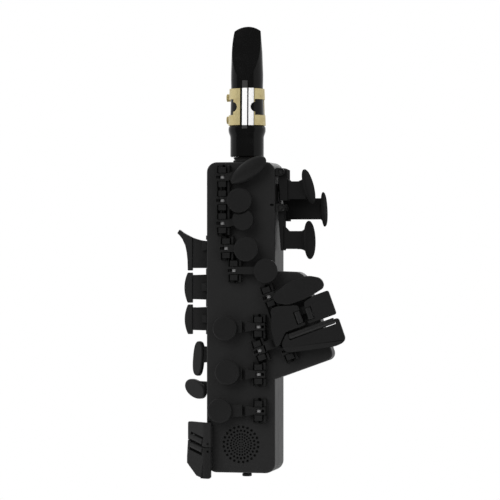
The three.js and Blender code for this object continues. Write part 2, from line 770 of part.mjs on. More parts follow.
// A bracket's foot and its two lugs, drawn about the foot of the pivot.
function bracketParts(foot = true) {
  const half = lug.width / 2;
  const inner = lugPitch - lug.length / 2;
  const outer = lugPitch + lug.length / 2;
  const lugs = [-1, 1].map((way) => raisedBlock(-half, half, way * inner, way * outer, seatGap, lug.top));
  if (!foot) return lugs;
  const side = bracket.width / 2;
  const end = bracket.length / 2;
  return [raisedBlock(-side, side, -end, end, seatGap, seatGap + bracketBase), ...lugs];
}

function rodBore(length) {
  return rodAlongZ(boreRadius, -length / 2, length / 2, 0, -pivotHeight);
}

// Front F key's domed, egg-shaped touch, flat below.
function eggTouch() {
  const dome = new THREE.SphereGeometry(1, padSides, eggRings);
  dome.scale(egg.length / 2, egg.rise, egg.width / 2).rotateY(-egg.tilt);
  const half = egg.length;
  return keepInside(dome, block(-half, half, -2 * egg.rise, 0, -half, half)).translate(
    leftKeys.front_f_key.padX,
    -egg.low,
    leftKeys.front_f_key.padZ,
  );
}

// The small touch below the B key, hollowed where the B touch lies.
function bittenPad() {
  const { b_key: upper, bis_key: own } = leftKeys;
  const x = upper.x + upper.padX - own.x;
  const z = upper.z + upper.padZ - own.z;
  const bite = rodAlongY(bisBite.radius, -pad.top - overrun, 0, x, z, padSides);
  return cut(roundPad(own.radius, own.padX, own.padZ), bite);
}

// The left stack's brackets stand in one column, and the two lower ones step aside.
function leftBracket() {
  const places = Object.values(leftKeys);
  const parts = places.flatMap(({ x, z }) => bracketParts().map((part) => part.translate(x, 0, z)));
  const bores = places.map(({ x, z }) => rodBore(bracket.length).translate(x, 0, z));
  return cut(join(...parts), ...bores);
}

// The right stack's bracket carries the F, low B and E pivots. The low B pivot leans with the table.
function rightBracket() {
  const places = [rightKeys.f_key, rightKeys.e_key];
  const straight = places.flatMap(({ x, z }) => bracketParts().map((part) => part.translate(x, 0, z)));
  const leaning = bracketParts().map((part) => leanLowB(part));
  const bores = places.map(({ x, z }) => rodBore(bracket.length).translate(x, 0, z));
  return cut(join(...straight, ...leaning), ...bores, leanLowB(rodBore(bracket.length)));
}

// A rod through a run of pivots, from just outside its first bracket to just outside its last.
function pivotRod(low, high) {
  const reach = lugPitch + lug.length / 2;
  return rodAlongZ(rodRadius, low - reach, high + reach, 0, -pivotHeight);
}

// The left little finger's table, drawn in the plane of the table about the G sharp pivot

// The room for a roller along V, left open on the side that faces the next plate, and its pin's bore.
function rollerSlot({ u, v0, v1 }, open) {
  const half = open * (roller.radius + roller.gap);
  const slot = raisedBlock(u - half, u + 3 * half, v0 - roller.gap, v1 + roller.gap, 0, 2 * plateTop);
  const reach = roller.pinLength + 2 * roller.gap;
  return [slot, rodAlongZ(roller.pin + clearance, v0 - reach, v1 + reach, u, -plateMiddle)];
}

function rollerAlongZ(length) {
  const reach = length / 2 + roller.pinLength;
  const pin = rodAlongZ(roller.pin, -reach, reach, 0, 0);
  return join(rodAlongZ(roller.radius, -length / 2, length / 2, 0, 0), pin);
}

// A lever under the table from the table's rod to a riser below the plate.
function tableArm(reach) {
  const half = arm.width / 2;
  return [
    raisedBlock(0, reach, -half, half, arm.low, arm.top),
    raisedBlock(reach - arm.width, reach, -half, half, arm.low, plate.low + plate.edge),
  ];
}

function tableTouch(shares, { left, right, bottom, top, corner }, u, v) {
  const points = shares.map(([across, up]) => [
    left - u + (right - left) * across,
    bottom - v + (top - bottom) * up,
  ]);
  return frontPlate(roundedPolygon(points, corner), plate.low, plateTop, plate.edge);
}

function gSharpKey() {
  const touch = tableTouch(gSharpShares, gSharpPlate, 0, tableHinge.gSharp);
  return withHub(1, false, touch, ...tableArm(tableReach.gSharp));
}

function cSharpKey() {
  const v = tableHinge.cSharp;
  const touch = tableTouch(cSharpShares, cSharpPlate, 0, v);
  const { u, v0, v1 } = cSharpRoller;
  const slot = rollerSlot({ u, v0: v0 - v, v1: v1 - v }, -1);
  return cut(withHub(1, false, touch, ...tableArm(tableReach.cSharp)), ...slot);
}

// The low B key crosses over the table's rod to its own pivot beside the right-hand stack.
function lowBKey() {
  const { u, v, neckLow, neckHigh, neckEnd, neckBottom } = lowB;
  const touch = tableTouch(bShares, bPlate, u, v);
  const half = hub.width / 2;
  const lugEnd = lug.width / 2 + clearance;
  const neckShape = polygon([
    [0, -half],
    [lugEnd, -half],
    [hub.front, neckLow - v],
    [neckEnd - u, neckLow - v],
    [neckEnd - u, neckHigh - v],
    [hub.front, neckHigh - v],
    [lugEnd, half],
    [0, half],
  ]);
  const neckBar = frontPlate(neckShape, neckBottom, lever.top);
  const riser = raisedBlock(
    bPlate.left + clearance - u,
    neckEnd - u,
    bPlate.bottom + clearance - v,
    neckHigh - v,
    neckBottom,
    plate.low + plate.edge,
  );
  const slot = rollerSlot({ u: bRoller.u - u, v0: bRoller.v0 - v, v1: bRoller.v1 - v }, 1);
  return cut(withHub(1, false, touch, neckBar, riser), ...slot);
}

function bFlatKey() {
  const v = tableHinge.bFlat;
  const touch = tableTouch(bFlatShares, bFlatPlate, 0, v);
  const half = roller.radius + roller.gap;
  const middle = bFlatRoller.v - v;
  const { u0, u1 } = bFlatRoller;
  const { gap } = roller;
  const notch = raisedBlock(u0 - gap, u1 + gap, middle - half, middle + 3 * half, 0, 2 * plateTop);
  const reach = roller.pinLength + 2 * gap;
  const pins = rodAlongX(roller.pin + clearance, u0 - reach, u1 + reach, -plateMiddle, middle);
  return cut(withHub(1, false, touch, ...tableArm(tableReach.bFlat)), notch, pins);
}

function tableBracket() {
  const places = [tableHinge.gSharp, tableHinge.cSharp, tableHinge.bFlat];
  const lugs = places.flatMap((v) => bracketParts(false).map((part) => part.translate(0, 0, v)));
  const half = bracket.width / 2;
  const low = tableHinge.bFlat - bracket.length / 2;
  const foot = raisedBlock(-half, half, low, bracket.length / 2, seatGap, seatGap + bracketBase);
  const bore = rodAlongZ(boreRadius, low - overrun, bracket.length, 0, -pivotHeight);
  return cut(join(foot, ...lugs), bore);
}

// Moves a geometry drawn about the low B pivot to its place beside the right stack, on the front face.
function leanLowB(geometry) {
  return onTable(geometry.translate(lowB.u, 0, lowB.v));
}

// Palm keys on the right side, hinged on pins along Y and drawn about their own pivot

// An ellipse about a centre as a polygon.
function oval(radiusX, radiusZ) {
  const points = [];
  for (let i = 0; i < padSides; i += 1) {
    const angle = (i / padSides) * 2 * Math.PI;
    points.push([radiusX * Math.cos(angle), radiusZ * Math.sin(angle)]);
  }
  return polygon(points);
}

// An oval touch facing +X on a flared neck, drawn about the middle of its back.
function ovalTouch({ long, deep, flare }) {
  const { thickness, edge } = palmTouch;
  const disc = frontPlate(oval(deep / 2, long / 2), 0, thickness, edge).rotateZ(Math.PI / 2);
  const bell = new THREE.CylinderGeometry(palmTouch.rootShare, palmTouch.flareShare, flare, padSides);
  bell.rotateZ(Math.PI / 2).scale(1, deep / 2, long / 2);
  return join(disc, bell.translate((edge - flare) / 2, 0, 0));
}

function palmKey({ bar, stem, touch, pinned }) {
  const half = palm.barWidth / 2;
  const barrel = rodAlongY(barrelRadius, -half, half, 0, 0);
  const blade = frontPlate(
    polygon([
      [-barrelRadius, 0],
      [palm.barOut - palm.barTip, -bar],
      [palm.barOut, -bar],
      [palm.barOut, 0],
      [barrelRadius / 2, barrelRadius / 2],
    ]),
    -half,
    half,
  );
  const { high, low, gusset } = stem;
  const halfStem = palmTouch.stemDepth / 2;
  const shaft = frontPlate(
    polygon([
      [0, -low],
      [touch.x, -low],
      [touch.x, -high],
      [palm.barOut + gusset, -high],
      [palm.barOut, gusset - high],
      [0, gusset - high],
    ]),
    -halfStem,
    halfStem,
  );
  const lean = THREE.MathUtils.degToRad(touch.lean);
  const disc = ovalTouch(touch).rotateY(-lean).translate(touch.x, 0, touch.z);
  const whole = join(barrel, blade, shaft, disc);
  const reach = half + clearance + palm.lug;
  if (pinned) return join(whole, rodAlongY(rodRadius, -reach, reach, 0, 0));
  return cut(whole, rodAlongY(boreRadius, -half - overrun, half + overrun, 0, 0));
}

// Where the palm bracket's lugs lie along Y: before, between and behind the levers.
const palmLugs = (() => {
  const half = palm.barWidth / 2 + clearance;
  return [
    [palm.frontY - half - palm.lug, palm.frontY - half],
    [palm.frontY + half, palm.frontY + half + palm.middleLug],
    [palmBackY + half, palmBackY + half + palm.lug],
  ];
})();

// One foot on the side of the case carries the lugs of all three pivots.
function palmBracket() {
  const root = -barrelRadius - clearance - bracketBase;
  const [front, middle, back] = palmLugs;
  const pivots = Object.values(palmKeys).map(({ y, z }) => {
    const spans = y === palm.frontY ? [front, middle] : [middle, back];
    return { z, spans };
  });
  const lugs = pivots.flatMap(({ z, spans }) =>
    spans.flatMap(([y0, y1]) => [
      block(root, 0, y0, y1, z - barrelRadius, z + barrelRadius),
      rodAlongY(barrelRadius, y0, y1, 0, z),
    ]),
  );
  const feet = pivots.map(({ z, spans }) =>
    block(root, root + bracketBase, spans[0][0], spans[1][1], z - barrelRadius, z + barrelRadius),
  );
  const heights = pivots.map(({ z }) => z);
  const spine = block(root, root + bracketBase, ...middle, Math.min(...heights), Math.max(...heights));
  const bores = heights.map((z) => rodAlongY(boreRadius, front[0] - overrun, back[1] + overrun, 0, z));
  return cut(join(spine, ...feet, ...lugs), ...bores);
}

// Side keys on the left, hinged on one long rod along Z and drawn about their own pivot

// A plain touch plate with its outer edge crowned and its corners broken.
function touchOutline(low, high, out, width) {
  const { crown } = sideTouch;
  const inner = width - out;
  return [
    [-out, low],
    [inner - crown, low],
    [inner, low + crown],
    [inner, high - crown],
    [inner - crown, high],
    [-out, high],
    [-out - crown, high - width],
    [-out - crown, low + width],
  ];
}

// The upper key's touch plate runs up into a horn.
function hornOutline(low, high, webHigh, top, { out, plateWidth, horn }) {
  const { crown } = sideTouch;
  const inner = plateWidth - out;
  const root = side.armThickness / 2;
  return [
    [-out, low],
    [inner, low],
    [inner, high - plateWidth],
    [root, webHigh - plateWidth / 2],
    [root, webHigh],
    [(root - horn.out) / 2, webHigh + crown],
    [-horn.out + crown, top],
    [-horn.out, top - crown],
    [-out - plateWidth / 2, high - crown],
  ];
}

function sideKey({ web, touch, out, plateWidth, horn }) {
  const [low, high] = web;
  const middle = (low + high) / 2;
  const half = (high - low) / 2;
  const barrel = rodAlongZ(thinBarrel, -half, half, 0, 0);
  const thick = side.armThickness / 2;
  const arms = block(-thick, thick, side.armEnd, 0, -half + thick, half - thick);
  const blade = block(-out, thick, side.armEnd - side.webThickness, side.armEnd, -half, half);
  const touchLow = touch[0] - middle;
  const touchHigh = touch[1] - middle;
  const outline = horn
    ? hornOutline(touchLow, touchHigh, half, horn.top - middle, { out, plateWidth, horn })
    : touchOutline(touchLow, touchHigh, out, plateWidth);
  const face = frontPlate(polygon(outline), -sideTouch.back, -sideTouch.front);
  return cut(join(barrel, arms, blade, face), rodAlongZ(thinBore, -half - overrun, half + overrun, 0, 0));
}

// Lugs stand below, between and above the barrels of the side keys.
function sideLugSpans() {
  const webs = Object.values(sideKeys).map(({ web }) => web);
  const spans = webs.slice(1).map(([low], i) => [webs[i][1] + clearance, low - clearance]);
  const first = webs[0][0] - clearance;
  const last = webs.at(-1)[1] + clearance;
  return [[first - side.lug, first], ...spans, [last, last + side.lug]];
}

// The bracket is drawn about the rod, at the height of the body's foot.
function sideBracket() {
  const root = thinBarrel + clearance + bracketBase;
  const spans = sideLugSpans();
  const lugs = spans.flatMap(([z0, z1]) => [
    block(0, root, -thinBarrel, thinBarrel, z0, z1),
    rodAlongZ(thinBarrel, z0, z1, 0, 0),
  ]);
  const low = spans[0][0];
  const high = spans.at(-1)[1];
  const foot = block(root - bracketBase, root, -thinBarrel, thinBarrel, low, high);
  return cut(join(foot, ...lugs), rodAlongZ(thinBore, low - overrun, high + overrun, 0, 0));
}

// Push keys on the left side: a touch turned towards the left front on a stem that runs into the case

// Drawn about the point where the stem's axis meets the side of the case.
function pushKey({ lift, long, wide, out }) {
  const half = wide / 2;
  const corner = Math.min(half, long / 2);
  const shape = roundedRectangle(-half, half, lift - long / 2, lift + long / 2, corner);
  const { thickness, edge } = pushTouch;
  const touch = frontPlate(shape, 0, thickness, edge).rotateZ(-pushAngle).translate(-out, 0, 0);
  const keeperStart = wall + clearance;
  const keeper = rodAlongX(pushTouch.keeper, keeperStart, keeperStart + pushTouch.keeperLength, 0, 0);
  const stem = rodAlongX(pushStem.radius, -out - edge, keeperStart + pushTouch.keeperLength / 2, 0, 0);
  return join(touch, stem, keeper);
}

// Right little finger's keys, drawn about the corner between the strip and the face
function onPinkyFace(geometry) {
  return geometry.rotateZ(-pinkyAngle);
}

// Height of the slanting division at a place along the face.
function divideZ(x, offset) {
  const share = -x / pinky.face;
  return pinky.divideRight + (pinky.divideLeft - pinky.divideRight) * share + offset;
}

function pinkyKey(upper) {
  const way = upper ? 1 : -1;
  const offset = (way * pinky.gap) / 2;
  const far = -pinky.face;
  const left = divideZ(far, offset);
  const right = divideZ(0, offset);
  const end = upper ? pinky.top : pinky.bottom;
  const outer = upper ? [[far, end]] : [[far / 2, end + pinky.cornerLow], [far, end + pinky.cornerHigh]];
  const corner = upper ? pinky.gap : pinky.corner;
  const faceShape = roundedPolygon([[far, left], [0, right], [0, end], ...outer], corner);
  const face = onPinkyFace(frontPlate(faceShape, -pinky.thickness, 0));
  const strip = block(-pinky.thickness / 2, pinky.stripWidth, 0, pinky.thickness, right, end);
  const { lowEnd, lowTop, highEnd } = pinkyBarrels;
  const [z0, z1] = upper ? [lowTop + pinkyLug.length + 2 * clearance, highEnd] : [lowEnd, lowTop];
  const rodX = pinky.rodX - pinky.edgeX;
  const rodY = pinky.height - pinkyRodHeight;
  const barrel = rodAlongZ(thinBarrel, z0, z1, rodX, rodY);
  const halfWeb = thinBarrel / 2;
  const web = block(rodX - halfWeb, rodX + halfWeb, pinky.thickness / 2, rodY, z0, z1);
  const slotHalf = roller.radius + roller.gap;
  const middle = pinkyRollerCentre(way);
  const halfLength = pinkyRoller.length / 2;
  const reach = halfLength + roller.pinLength + 2 * roller.gap;
  const notch = block(
    -halfLength - roller.gap,
    halfLength + roller.gap,
    -2 * slotHalf,
    2 * slotHalf,
    -way * slotHalf * 3,
    way * slotHalf,
  );
  const pins = rodAlongX(roller.pin + clearance, -reach, reach, 0, 0);
  const place = (geometry) => {
    geometry.rotateY(pinkySlope).translate(middle.x, middle.y, middle.z);
    return onPinkyFace(geometry);
  };
  const bore = rodAlongZ(thinBore, z0 - overrun, z1 + overrun, rodX, rodY);
  return cut(join(face, strip, barrel, web), bore, place(notch), place(pins));
}

// Middle of a roller on the face before the face is turned.
function pinkyRollerCentre(way) {
  const x = -pinkyRoller.from - pinkyRoller.length / 2;
  return { x, y: pinky.thickness / 2, z: divideZ(x, way * pinkyRoller.offset) };
}

// Back of the case: octave key, thumb hook and strap ring

function rearPlate(shape, low, high) {
  return frontPlate(shape, low, high).rotateZ(Math.PI);
}

// Drawn about the foot of its pivot on the back of the case, with the touch above the pivot.
function octaveKey() {
  const half = octave.halfBarrel;
  const barrel = rodAlongX(thinBarrel, -half, half, octaveHeight, 0);
  const reach = half + clearance + octave.lug;
  const pin = rodAlongX(thinRodRadius, -reach, reach, octaveHeight, 0);
  const touchHalf = octave.touchWidth / 2;
  const { touchLow, touchHigh } = octave;
  const shape = roundedRectangle(-touchHalf, touchHalf, touchLow, touchHigh, touchHalf);
  const touch = rearPlate(shape, octaveHeight, octaveHeight + thinBarrel);
  const bar = block(-half / 2, half / 2, octaveHeight, octaveHeight + thinBarrel, 0, touchHigh / 2);
  return join(barrel, pin, bar, touch);
}

function octaveBracket() {
  const { width, low, high, thickness, corner } = octaveFoot;
  const foot = roundedRectangle(-width / 2, width / 2, low, high, corner);
  const inner = octave.halfBarrel + clearance;
  const outer = inner + octave.lug;
  const lugs = [-1, 1].flatMap((way) => [
    block(way * inner, way * outer, seatGap, octaveHeight, -thinBarrel, thinBarrel),
    rodAlongX(thinBarrel, way * inner, way * outer, octaveHeight, 0),
  ]);
  const bore = rodAlongX(thinBore, -width, width, octaveHeight, 0);
  return cut(join(rearPlate(foot, seatGap, seatGap + thickness), ...lugs), bore);
}

function thumbHook() {
  const half = hook.width / 2;
  const foot = roundedRectangle(-half, half, -hookFoot.height / 2, hookFoot.height / 2, hookFoot.corner);
  const root = seatGap + hookFoot.thickness / 2;
  const end = root + hook.reach;
  const top = hookFoot.height / 2 - hookFoot.corner;
  const outline = [
    [root, top],
    [end, top],
    [end, top - hook.drop],
    [end - hook.thickness, top - hook.drop],
    [end - hook.thickness, top - hook.thickness],
    [root, top - hook.thickness],
  ];
  const crook = sidePlate(roundedPolygon(outline, hook.thickness / 2), -half, half);
  return join(rearPlate(foot, seatGap, seatGap + hookFoot.thickness), crook);
}

// Drawn about the middle of the ring's hole, which runs from side to side.
function strapRing() {
  const half = ring.thickness / 2;
  const back = -ringY;
  const { width, length, corner } = ringFoot;
  const foot = roundedRectangle(-width / 2, width / 2, -length / 2, length / 2, corner);
  const base = rearPlate(foot, seatGap, seatGap + ringFoot.thickness).translate(0, back, 0);
  const disc = rodAlongX(ring.outer, -half, half, 0, 0, fineSides);
  const root = block(-half, half, back + seatGap + ringFoot.thickness / 2, 0, -ring.outer, ring.outer);
  const hole = rodAlongX(ring.hole, -half - overrun, half + overrun, 0, 0, padSides);
  return cut(join(base, disc, root), hole);
}

function powerButton() {
  const inside = wall + clearance;
  return turned(
    [
      [0, -button.capLow],
      [button.cap, -button.capLow],
      [button.cap, -button.flangeLow],
      [button.flange, -button.flangeLow],
      [button.flange, inside],
      [button.keeper, inside],
      [button.keeper, inside + button.keeperHeight],
      [0, inside + button.keeperHeight],
    ],
    padSides,
  );
}

function build() {
  const parts = new THREE.Group();
  const add = (name, geometry, material, place) => parts.add(piece(name, geometry, material, place));

  add("front_cover", frontCover(), coverPlastic, [0, frontFace, 0]);
  add("rear_cover", rearCover(), coverPlastic);
  add("main_board", mainBoard(), circuitBoard);
  add("speaker", speakerUnit(), speakerPlastic);
  add("battery", batteryCell(), cellWrap);
  add("breath_sensor", breathSensor(), speakerPlastic);
  add("power_button", powerButton(), keyPlastic, [0, neck.y, 0]);

  add("neck_tenon", neckTenon(), coverPlastic, [0, neck.y, 0]);
  add("tenon_cork", tenonCork(), corkSheet, [0, neck.y, 0]);
  const mouthPlace = [0, neck.y, mouthZ];
  add("mouthpiece", mouthpiece(), ebonite, mouthPlace);
  add("reed", reed(), cane, mouthPlace);
  add("ligature", ligatureBand(), goldBrass, mouthPlace);
  const screwPlace = (end) => [0, neck.y + screwY, mouthZ + ligatureMiddle + end * screwSize.drop];
  add("ligature_screw_lower", ligatureScrew(), goldBrass, screwPlace(-1));
  add("ligature_screw_upper", ligatureScrew(), goldBrass, screwPlace(1));

  for (const [name, key] of Object.entries(leftKeys)) {
    const touches = { front_f_key: eggTouch, bis_key: bittenPad };
    add(name, stackKey(key, touches[name]?.()), keyPlastic, [key.x, frontFace, key.z]);
  }
  add("left_stack_bracket", leftBracket(), keyPlastic, [0, frontFace, 0]);
  const { front_f_key: topKey, bis_key: lastKey } = leftKeys;
  add("left_stack_rod", pivotRod(lastKey.z, topKey.z), steel, [topKey.x, frontFace, 0]);

  for (const [name, key] of Object.entries(rightKeys)) {
    add(name, longKey(key), keyPlastic, [key.x, frontFace, key.z]);
    add(name + "_rod", pivotRod(0, 0), steel, [key.x, frontFace, key.z]);
  }
  add("right_stack_bracket", rightBracket(), keyPlastic, [0, frontFace, 0]);
  const { d_key: low } = rightKeys;
  const lowBracket = cut(join(...bracketParts()), rodBore(bracket.length));
  add("d_key_bracket", lowBracket, keyPlastic, [low.x, frontFace, low.z]);

  const table = new THREE.Group();
  table.position.set(tablePlace.x, frontFace, tablePlace.z);
  table.rotation.y = -tableAngle;
  const addTable = (name, geometry, material, place) =>
    table.add(piece(name, geometry, material, place));
  addTable("table_bracket", tableBracket(), keyPlastic);
  addTable("table_rod", pivotRod(tableHinge.bFlat, tableHinge.gSharp), steel);
  addTable("g_sharp_key", gSharpKey(), keyPlastic);
  addTable("low_c_sharp_key", cSharpKey(), keyPlastic, [0, 0, tableHinge.cSharp]);
  addTable("low_b_key", lowBKey(), keyPlastic, [lowB.u, 0, lowB.v]);
  addTable("low_b_rod", pivotRod(0, 0), steel, [lowB.u, 0, lowB.v]);
  addTable("low_b_flat_key", bFlatKey(), keyPlastic, [0, 0, tableHinge.bFlat]);
  for (const [name, { u, v0, v1 }] of Object.entries({ c_sharp_roller: cSharpRoller, b_roller: bRoller })) {
    addTable(name, rollerAlongZ(v1 - v0), keyPlastic, [u, -plateMiddle, (v0 + v1) / 2]);
  }
  const { v, u0, u1 } = bFlatRoller;
  const longRoller = rollerAlongZ(u1 - u0).rotateY(Math.PI / 2);
  addTable("b_flat_roller", longRoller, keyPlastic, [(u0 + u1) / 2, -plateMiddle, v]);
  parts.add(table);

  for (const [name, key] of Object.entries(palmKeys)) {
    add(name, palmKey(key), sidePlastic, [palmX, key.y, key.z]);
  }
  add("palm_bracket", palmBracket(), keyPlastic, [palmX, 0, 0]);
  const palmRod = rodAlongY(rodRadius, palmLugs[1][0], palmLugs[2][1], 0, 0);
  add("palm_rod", palmRod, steel, [palmX, 0, palmKeys.palm_e_flat_key.z]);

  for (const [name, key] of Object.entries(sideKeys)) {
    add(name, sideKey(key), sidePlastic, [sideX, side.y, (key.web[0] + key.web[1]) / 2]);
  }
  add("side_bracket", sideBracket(), keyPlastic, [sideX, side.y, 0]);
  const spans = sideLugSpans();
  add("side_rod", rodAlongZ(thinRodRadius, spans[0][0], spans.at(-1)[1], 0, 0), steel, [sideX, side.y, 0]);
  for (const key of pushKeys) {
    add(key.name, pushKey(key), sidePlastic, [-sideWall, pushStem.y, key.z]);
  }

  const pinkyPlace = [pinky.edgeX, frontFace - pinky.height, 0];
  add("e_flat_key", pinkyKey(true), sidePlastic, pinkyPlace);
  add("low_c_key", pinkyKey(false), sidePlastic, pinkyPlace);
  const face = new THREE.Group();
  face.position.set(...pinkyPlace);
  face.rotation.z = -pinkyAngle;
  for (const [name, way] of Object.entries({ e_flat_roller: 1, low_c_roller: -1 })) {
    const shape = rollerAlongZ(pinkyRoller.length).rotateY(Math.PI / 2);
    const { x, y, z } = pinkyRollerCentre(way);
    const mesh = piece(name, shape, sidePlastic, [x, y, z]);
    mesh.rotation.y = pinkySlope;
    face.add(mesh);
  }
  parts.add(face);
  const rodSpan = pinkyLugSpans();
  const pinkyRod = rodAlongZ(thinRodRadius, rodSpan[0][0], rodSpan.at(-1)[1], 0, 0);
  add("pinky_rod", pinkyRod, steel, [pinky.rodX, frontFace - pinkyRodHeight, 0]);

  add("octave_key", octaveKey(), keyPlastic, [0, backFace, octave.z]);
  add("octave_bracket", octaveBracket(), keyPlastic, [0, backFace, octave.z]);
  add("thumb_hook", thumbHook(), keyPlastic, [0, backFace, hook.z]);
  add("strap_ring", strapRing(), steel, [0, backFace + ringY, ring.z]);
  return parts;
}

const instrument = build();
instrument.position.set(0, -backFace - ringY, -ring.z);

export default instrument;
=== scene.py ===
"""Looks of a straight electronic wind controller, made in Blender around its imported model.

Places are in metres in the model's frame: the instrument stands along Z, its finger keys face -Y and the
origin is the middle of the strap ring. Pieces are drawn lying flat, with their outward side towards local
+Z, and are then turned and moved to where the instrument carries them.
"""

import json
import math

import bmesh
import bpy
from mathutils import Matrix, Vector


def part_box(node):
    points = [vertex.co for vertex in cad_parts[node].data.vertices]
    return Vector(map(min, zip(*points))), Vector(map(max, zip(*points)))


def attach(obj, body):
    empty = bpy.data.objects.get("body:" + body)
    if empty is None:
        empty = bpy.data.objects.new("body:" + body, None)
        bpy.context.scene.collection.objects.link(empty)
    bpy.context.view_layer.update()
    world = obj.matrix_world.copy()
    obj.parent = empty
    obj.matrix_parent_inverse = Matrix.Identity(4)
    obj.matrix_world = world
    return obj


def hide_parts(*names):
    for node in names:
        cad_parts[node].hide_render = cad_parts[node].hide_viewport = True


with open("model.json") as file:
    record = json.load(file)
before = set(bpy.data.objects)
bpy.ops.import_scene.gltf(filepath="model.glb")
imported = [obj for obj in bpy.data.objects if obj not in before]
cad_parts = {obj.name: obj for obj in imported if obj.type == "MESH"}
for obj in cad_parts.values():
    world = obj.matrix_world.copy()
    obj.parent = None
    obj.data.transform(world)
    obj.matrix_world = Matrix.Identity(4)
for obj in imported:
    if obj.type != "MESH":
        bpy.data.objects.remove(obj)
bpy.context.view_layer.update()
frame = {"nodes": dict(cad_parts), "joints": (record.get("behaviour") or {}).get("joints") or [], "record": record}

# Driving sizes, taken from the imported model

MM = 0.001
CASE_LOW, CASE_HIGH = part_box("rear_cover")
FOOT = CASE_LOW.z
TOP = CASE_HIGH.z
BACK = CASE_HIGH.y
HALF_WIDTH = CASE_HIGH.x
BODY_DEPTH = 35 * MM
FRONT = BACK - BODY_DEPTH
WALL = 2 * MM
SEAM = 0.3 * MM
PIVOTS = {joint["child"]: Vector(joint["pos_m"]) for joint in frame["joints"] if "pos_m" in joint}
PIVOT_HEIGHT = FRONT - PIVOTS["b_key"].y
ROD = 1.6 * MM
BARREL = 2.7 * MM
THIN_ROD = 1.2 * MM
THIN_BARREL = 2.3 * MM
ROD_ROUND = 0.2 * MM
PLATE_ROUND = 0.2 * MM
LEVER_ROUND = 0.25 * MM
TABLE_LEAN = math.radians(20)

# How a flat drawing is turned: its outward side faces the front, the back, the right or the left

FACING_FRONT = Matrix.Rotation(math.radians(90), 4, "X")
FACING_BACK = Matrix.Rotation(math.radians(180), 4, "Z") @ FACING_FRONT
FACING_RIGHT = Matrix.Rotation(math.radians(90), 4, "Z") @ FACING_FRONT


def on_front(x, z, height=0.0):
    """Turns a drawing to the front and puts its origin at X and at a height above the case's foot."""
    return Matrix.Translation((x, FRONT - height, FOOT + z)) @ FACING_FRONT


def at_pivot(node):
    """Puts a drawing's origin on the case's front face under a key's pivot."""
    pivot = PIVOTS[node]
    return Matrix.Translation((pivot.x, FRONT, pivot.z)) @ FACING_FRONT


def at_leaning_pivot(node):
    """The same for the keys of the little finger's table, which leans."""
    pivot = PIVOTS[node]
    lean = Matrix.Rotation(-TABLE_LEAN, 4, "Y")
    return Matrix.Translation((pivot.x, FRONT, pivot.z)) @ lean @ FACING_FRONT


# Outlines

OVAL_POINTS = 64


def in_mm(points):
    return [(a * MM, b * MM) for a, b in points]


def rectangle(half_width, half_height, x=0.0, y=0.0):
    low, high = y - half_height, y + half_height
    left, right = x - half_width, x + half_width
    return [(left, low), (right, low), (right, high), (left, high)]


def arc(middle, radius, start, end, steps=8):
    """Points on an arc, from one angle in degrees to another."""
    angles = [math.radians(start + (end - start) * i / steps) for i in range(steps + 1)]
    return [(middle[0] + radius * math.cos(a), middle[1] + radius * math.sin(a)) for a in angles]


def oval(half_wide, half_tall, power, lean):
    """An oval's outline, squarer for a higher power, leaning by an angle."""
    corners = []
    for i in range(OVAL_POINTS):
        angle = 2 * math.pi * i / OVAL_POINTS
        c, s = math.cos(angle), math.sin(angle)
        x = half_wide * math.copysign(abs(c) ** (2 / power), c)
        y = half_tall * math.copysign(abs(s) ** (2 / power), s)
        corners.append((x * math.cos(lean) - y * math.sin(lean), x * math.sin(lean) + y * math.cos(lean)))
    return corners


# Modelling with Blender's own tools


def deselect():
    if bpy.context.mode != "OBJECT":
        bpy.ops.object.mode_set(mode="OBJECT")
    bpy.ops.object.select_all(action="DESELECT")


def take(piece):
    """Selects one object and makes it the active one."""
    deselect()
    piece.select_set(True)
    bpy.context.view_layer.objects.active = piece
    return piece


def named(name):
    piece = bpy.context.object
    piece.name = name
    piece.data.name = name
    return piece


def apply_modifier(piece, modifier):
    take(piece)
    bpy.ops.object.modifier_apply(modifier=modifier.name)


def place(piece, matrix):
    """Turns and moves a piece, with the move kept in its mesh."""
    take(piece)
    piece.matrix_world = matrix
    bpy.ops.object.transform_apply(location=True, rotation=True, scale=True)
    return piece


def select_faces(test):
    """In edit mode, selects the faces whose middle and normal pass a test."""
    bpy.ops.mesh.select_mode(type="FACE")
    bpy.ops.mesh.select_all(action="DESELECT")
    mesh = bmesh.from_edit_mesh(bpy.context.object.data)
    for face in mesh.faces:
        face.select_set(test(face.calc_center_median(), face.normal))
    bmesh.update_edit_mesh(bpy.context.object.data)


def select_edges(test):
    """In edit mode, selects the edges whose two ends pass a test."""
    bpy.ops.mesh.select_mode(type="EDGE")
    bpy.ops.mesh.select_all(action="DESELECT")
    mesh = bmesh.from_edit_mesh(bpy.context.object.data)
    for edge in mesh.edges:
        edge.select_set(test(edge.verts[0].co, edge.verts[1].co))
    bmesh.update_edit_mesh(bpy.context.object.data)


def face_outwards():
    bpy.ops.mesh.select_all(action="SELECT")
    bpy.ops.mesh.normals_make_consistent(inside=False)
    bpy.ops.object.mode_set(mode="OBJECT")


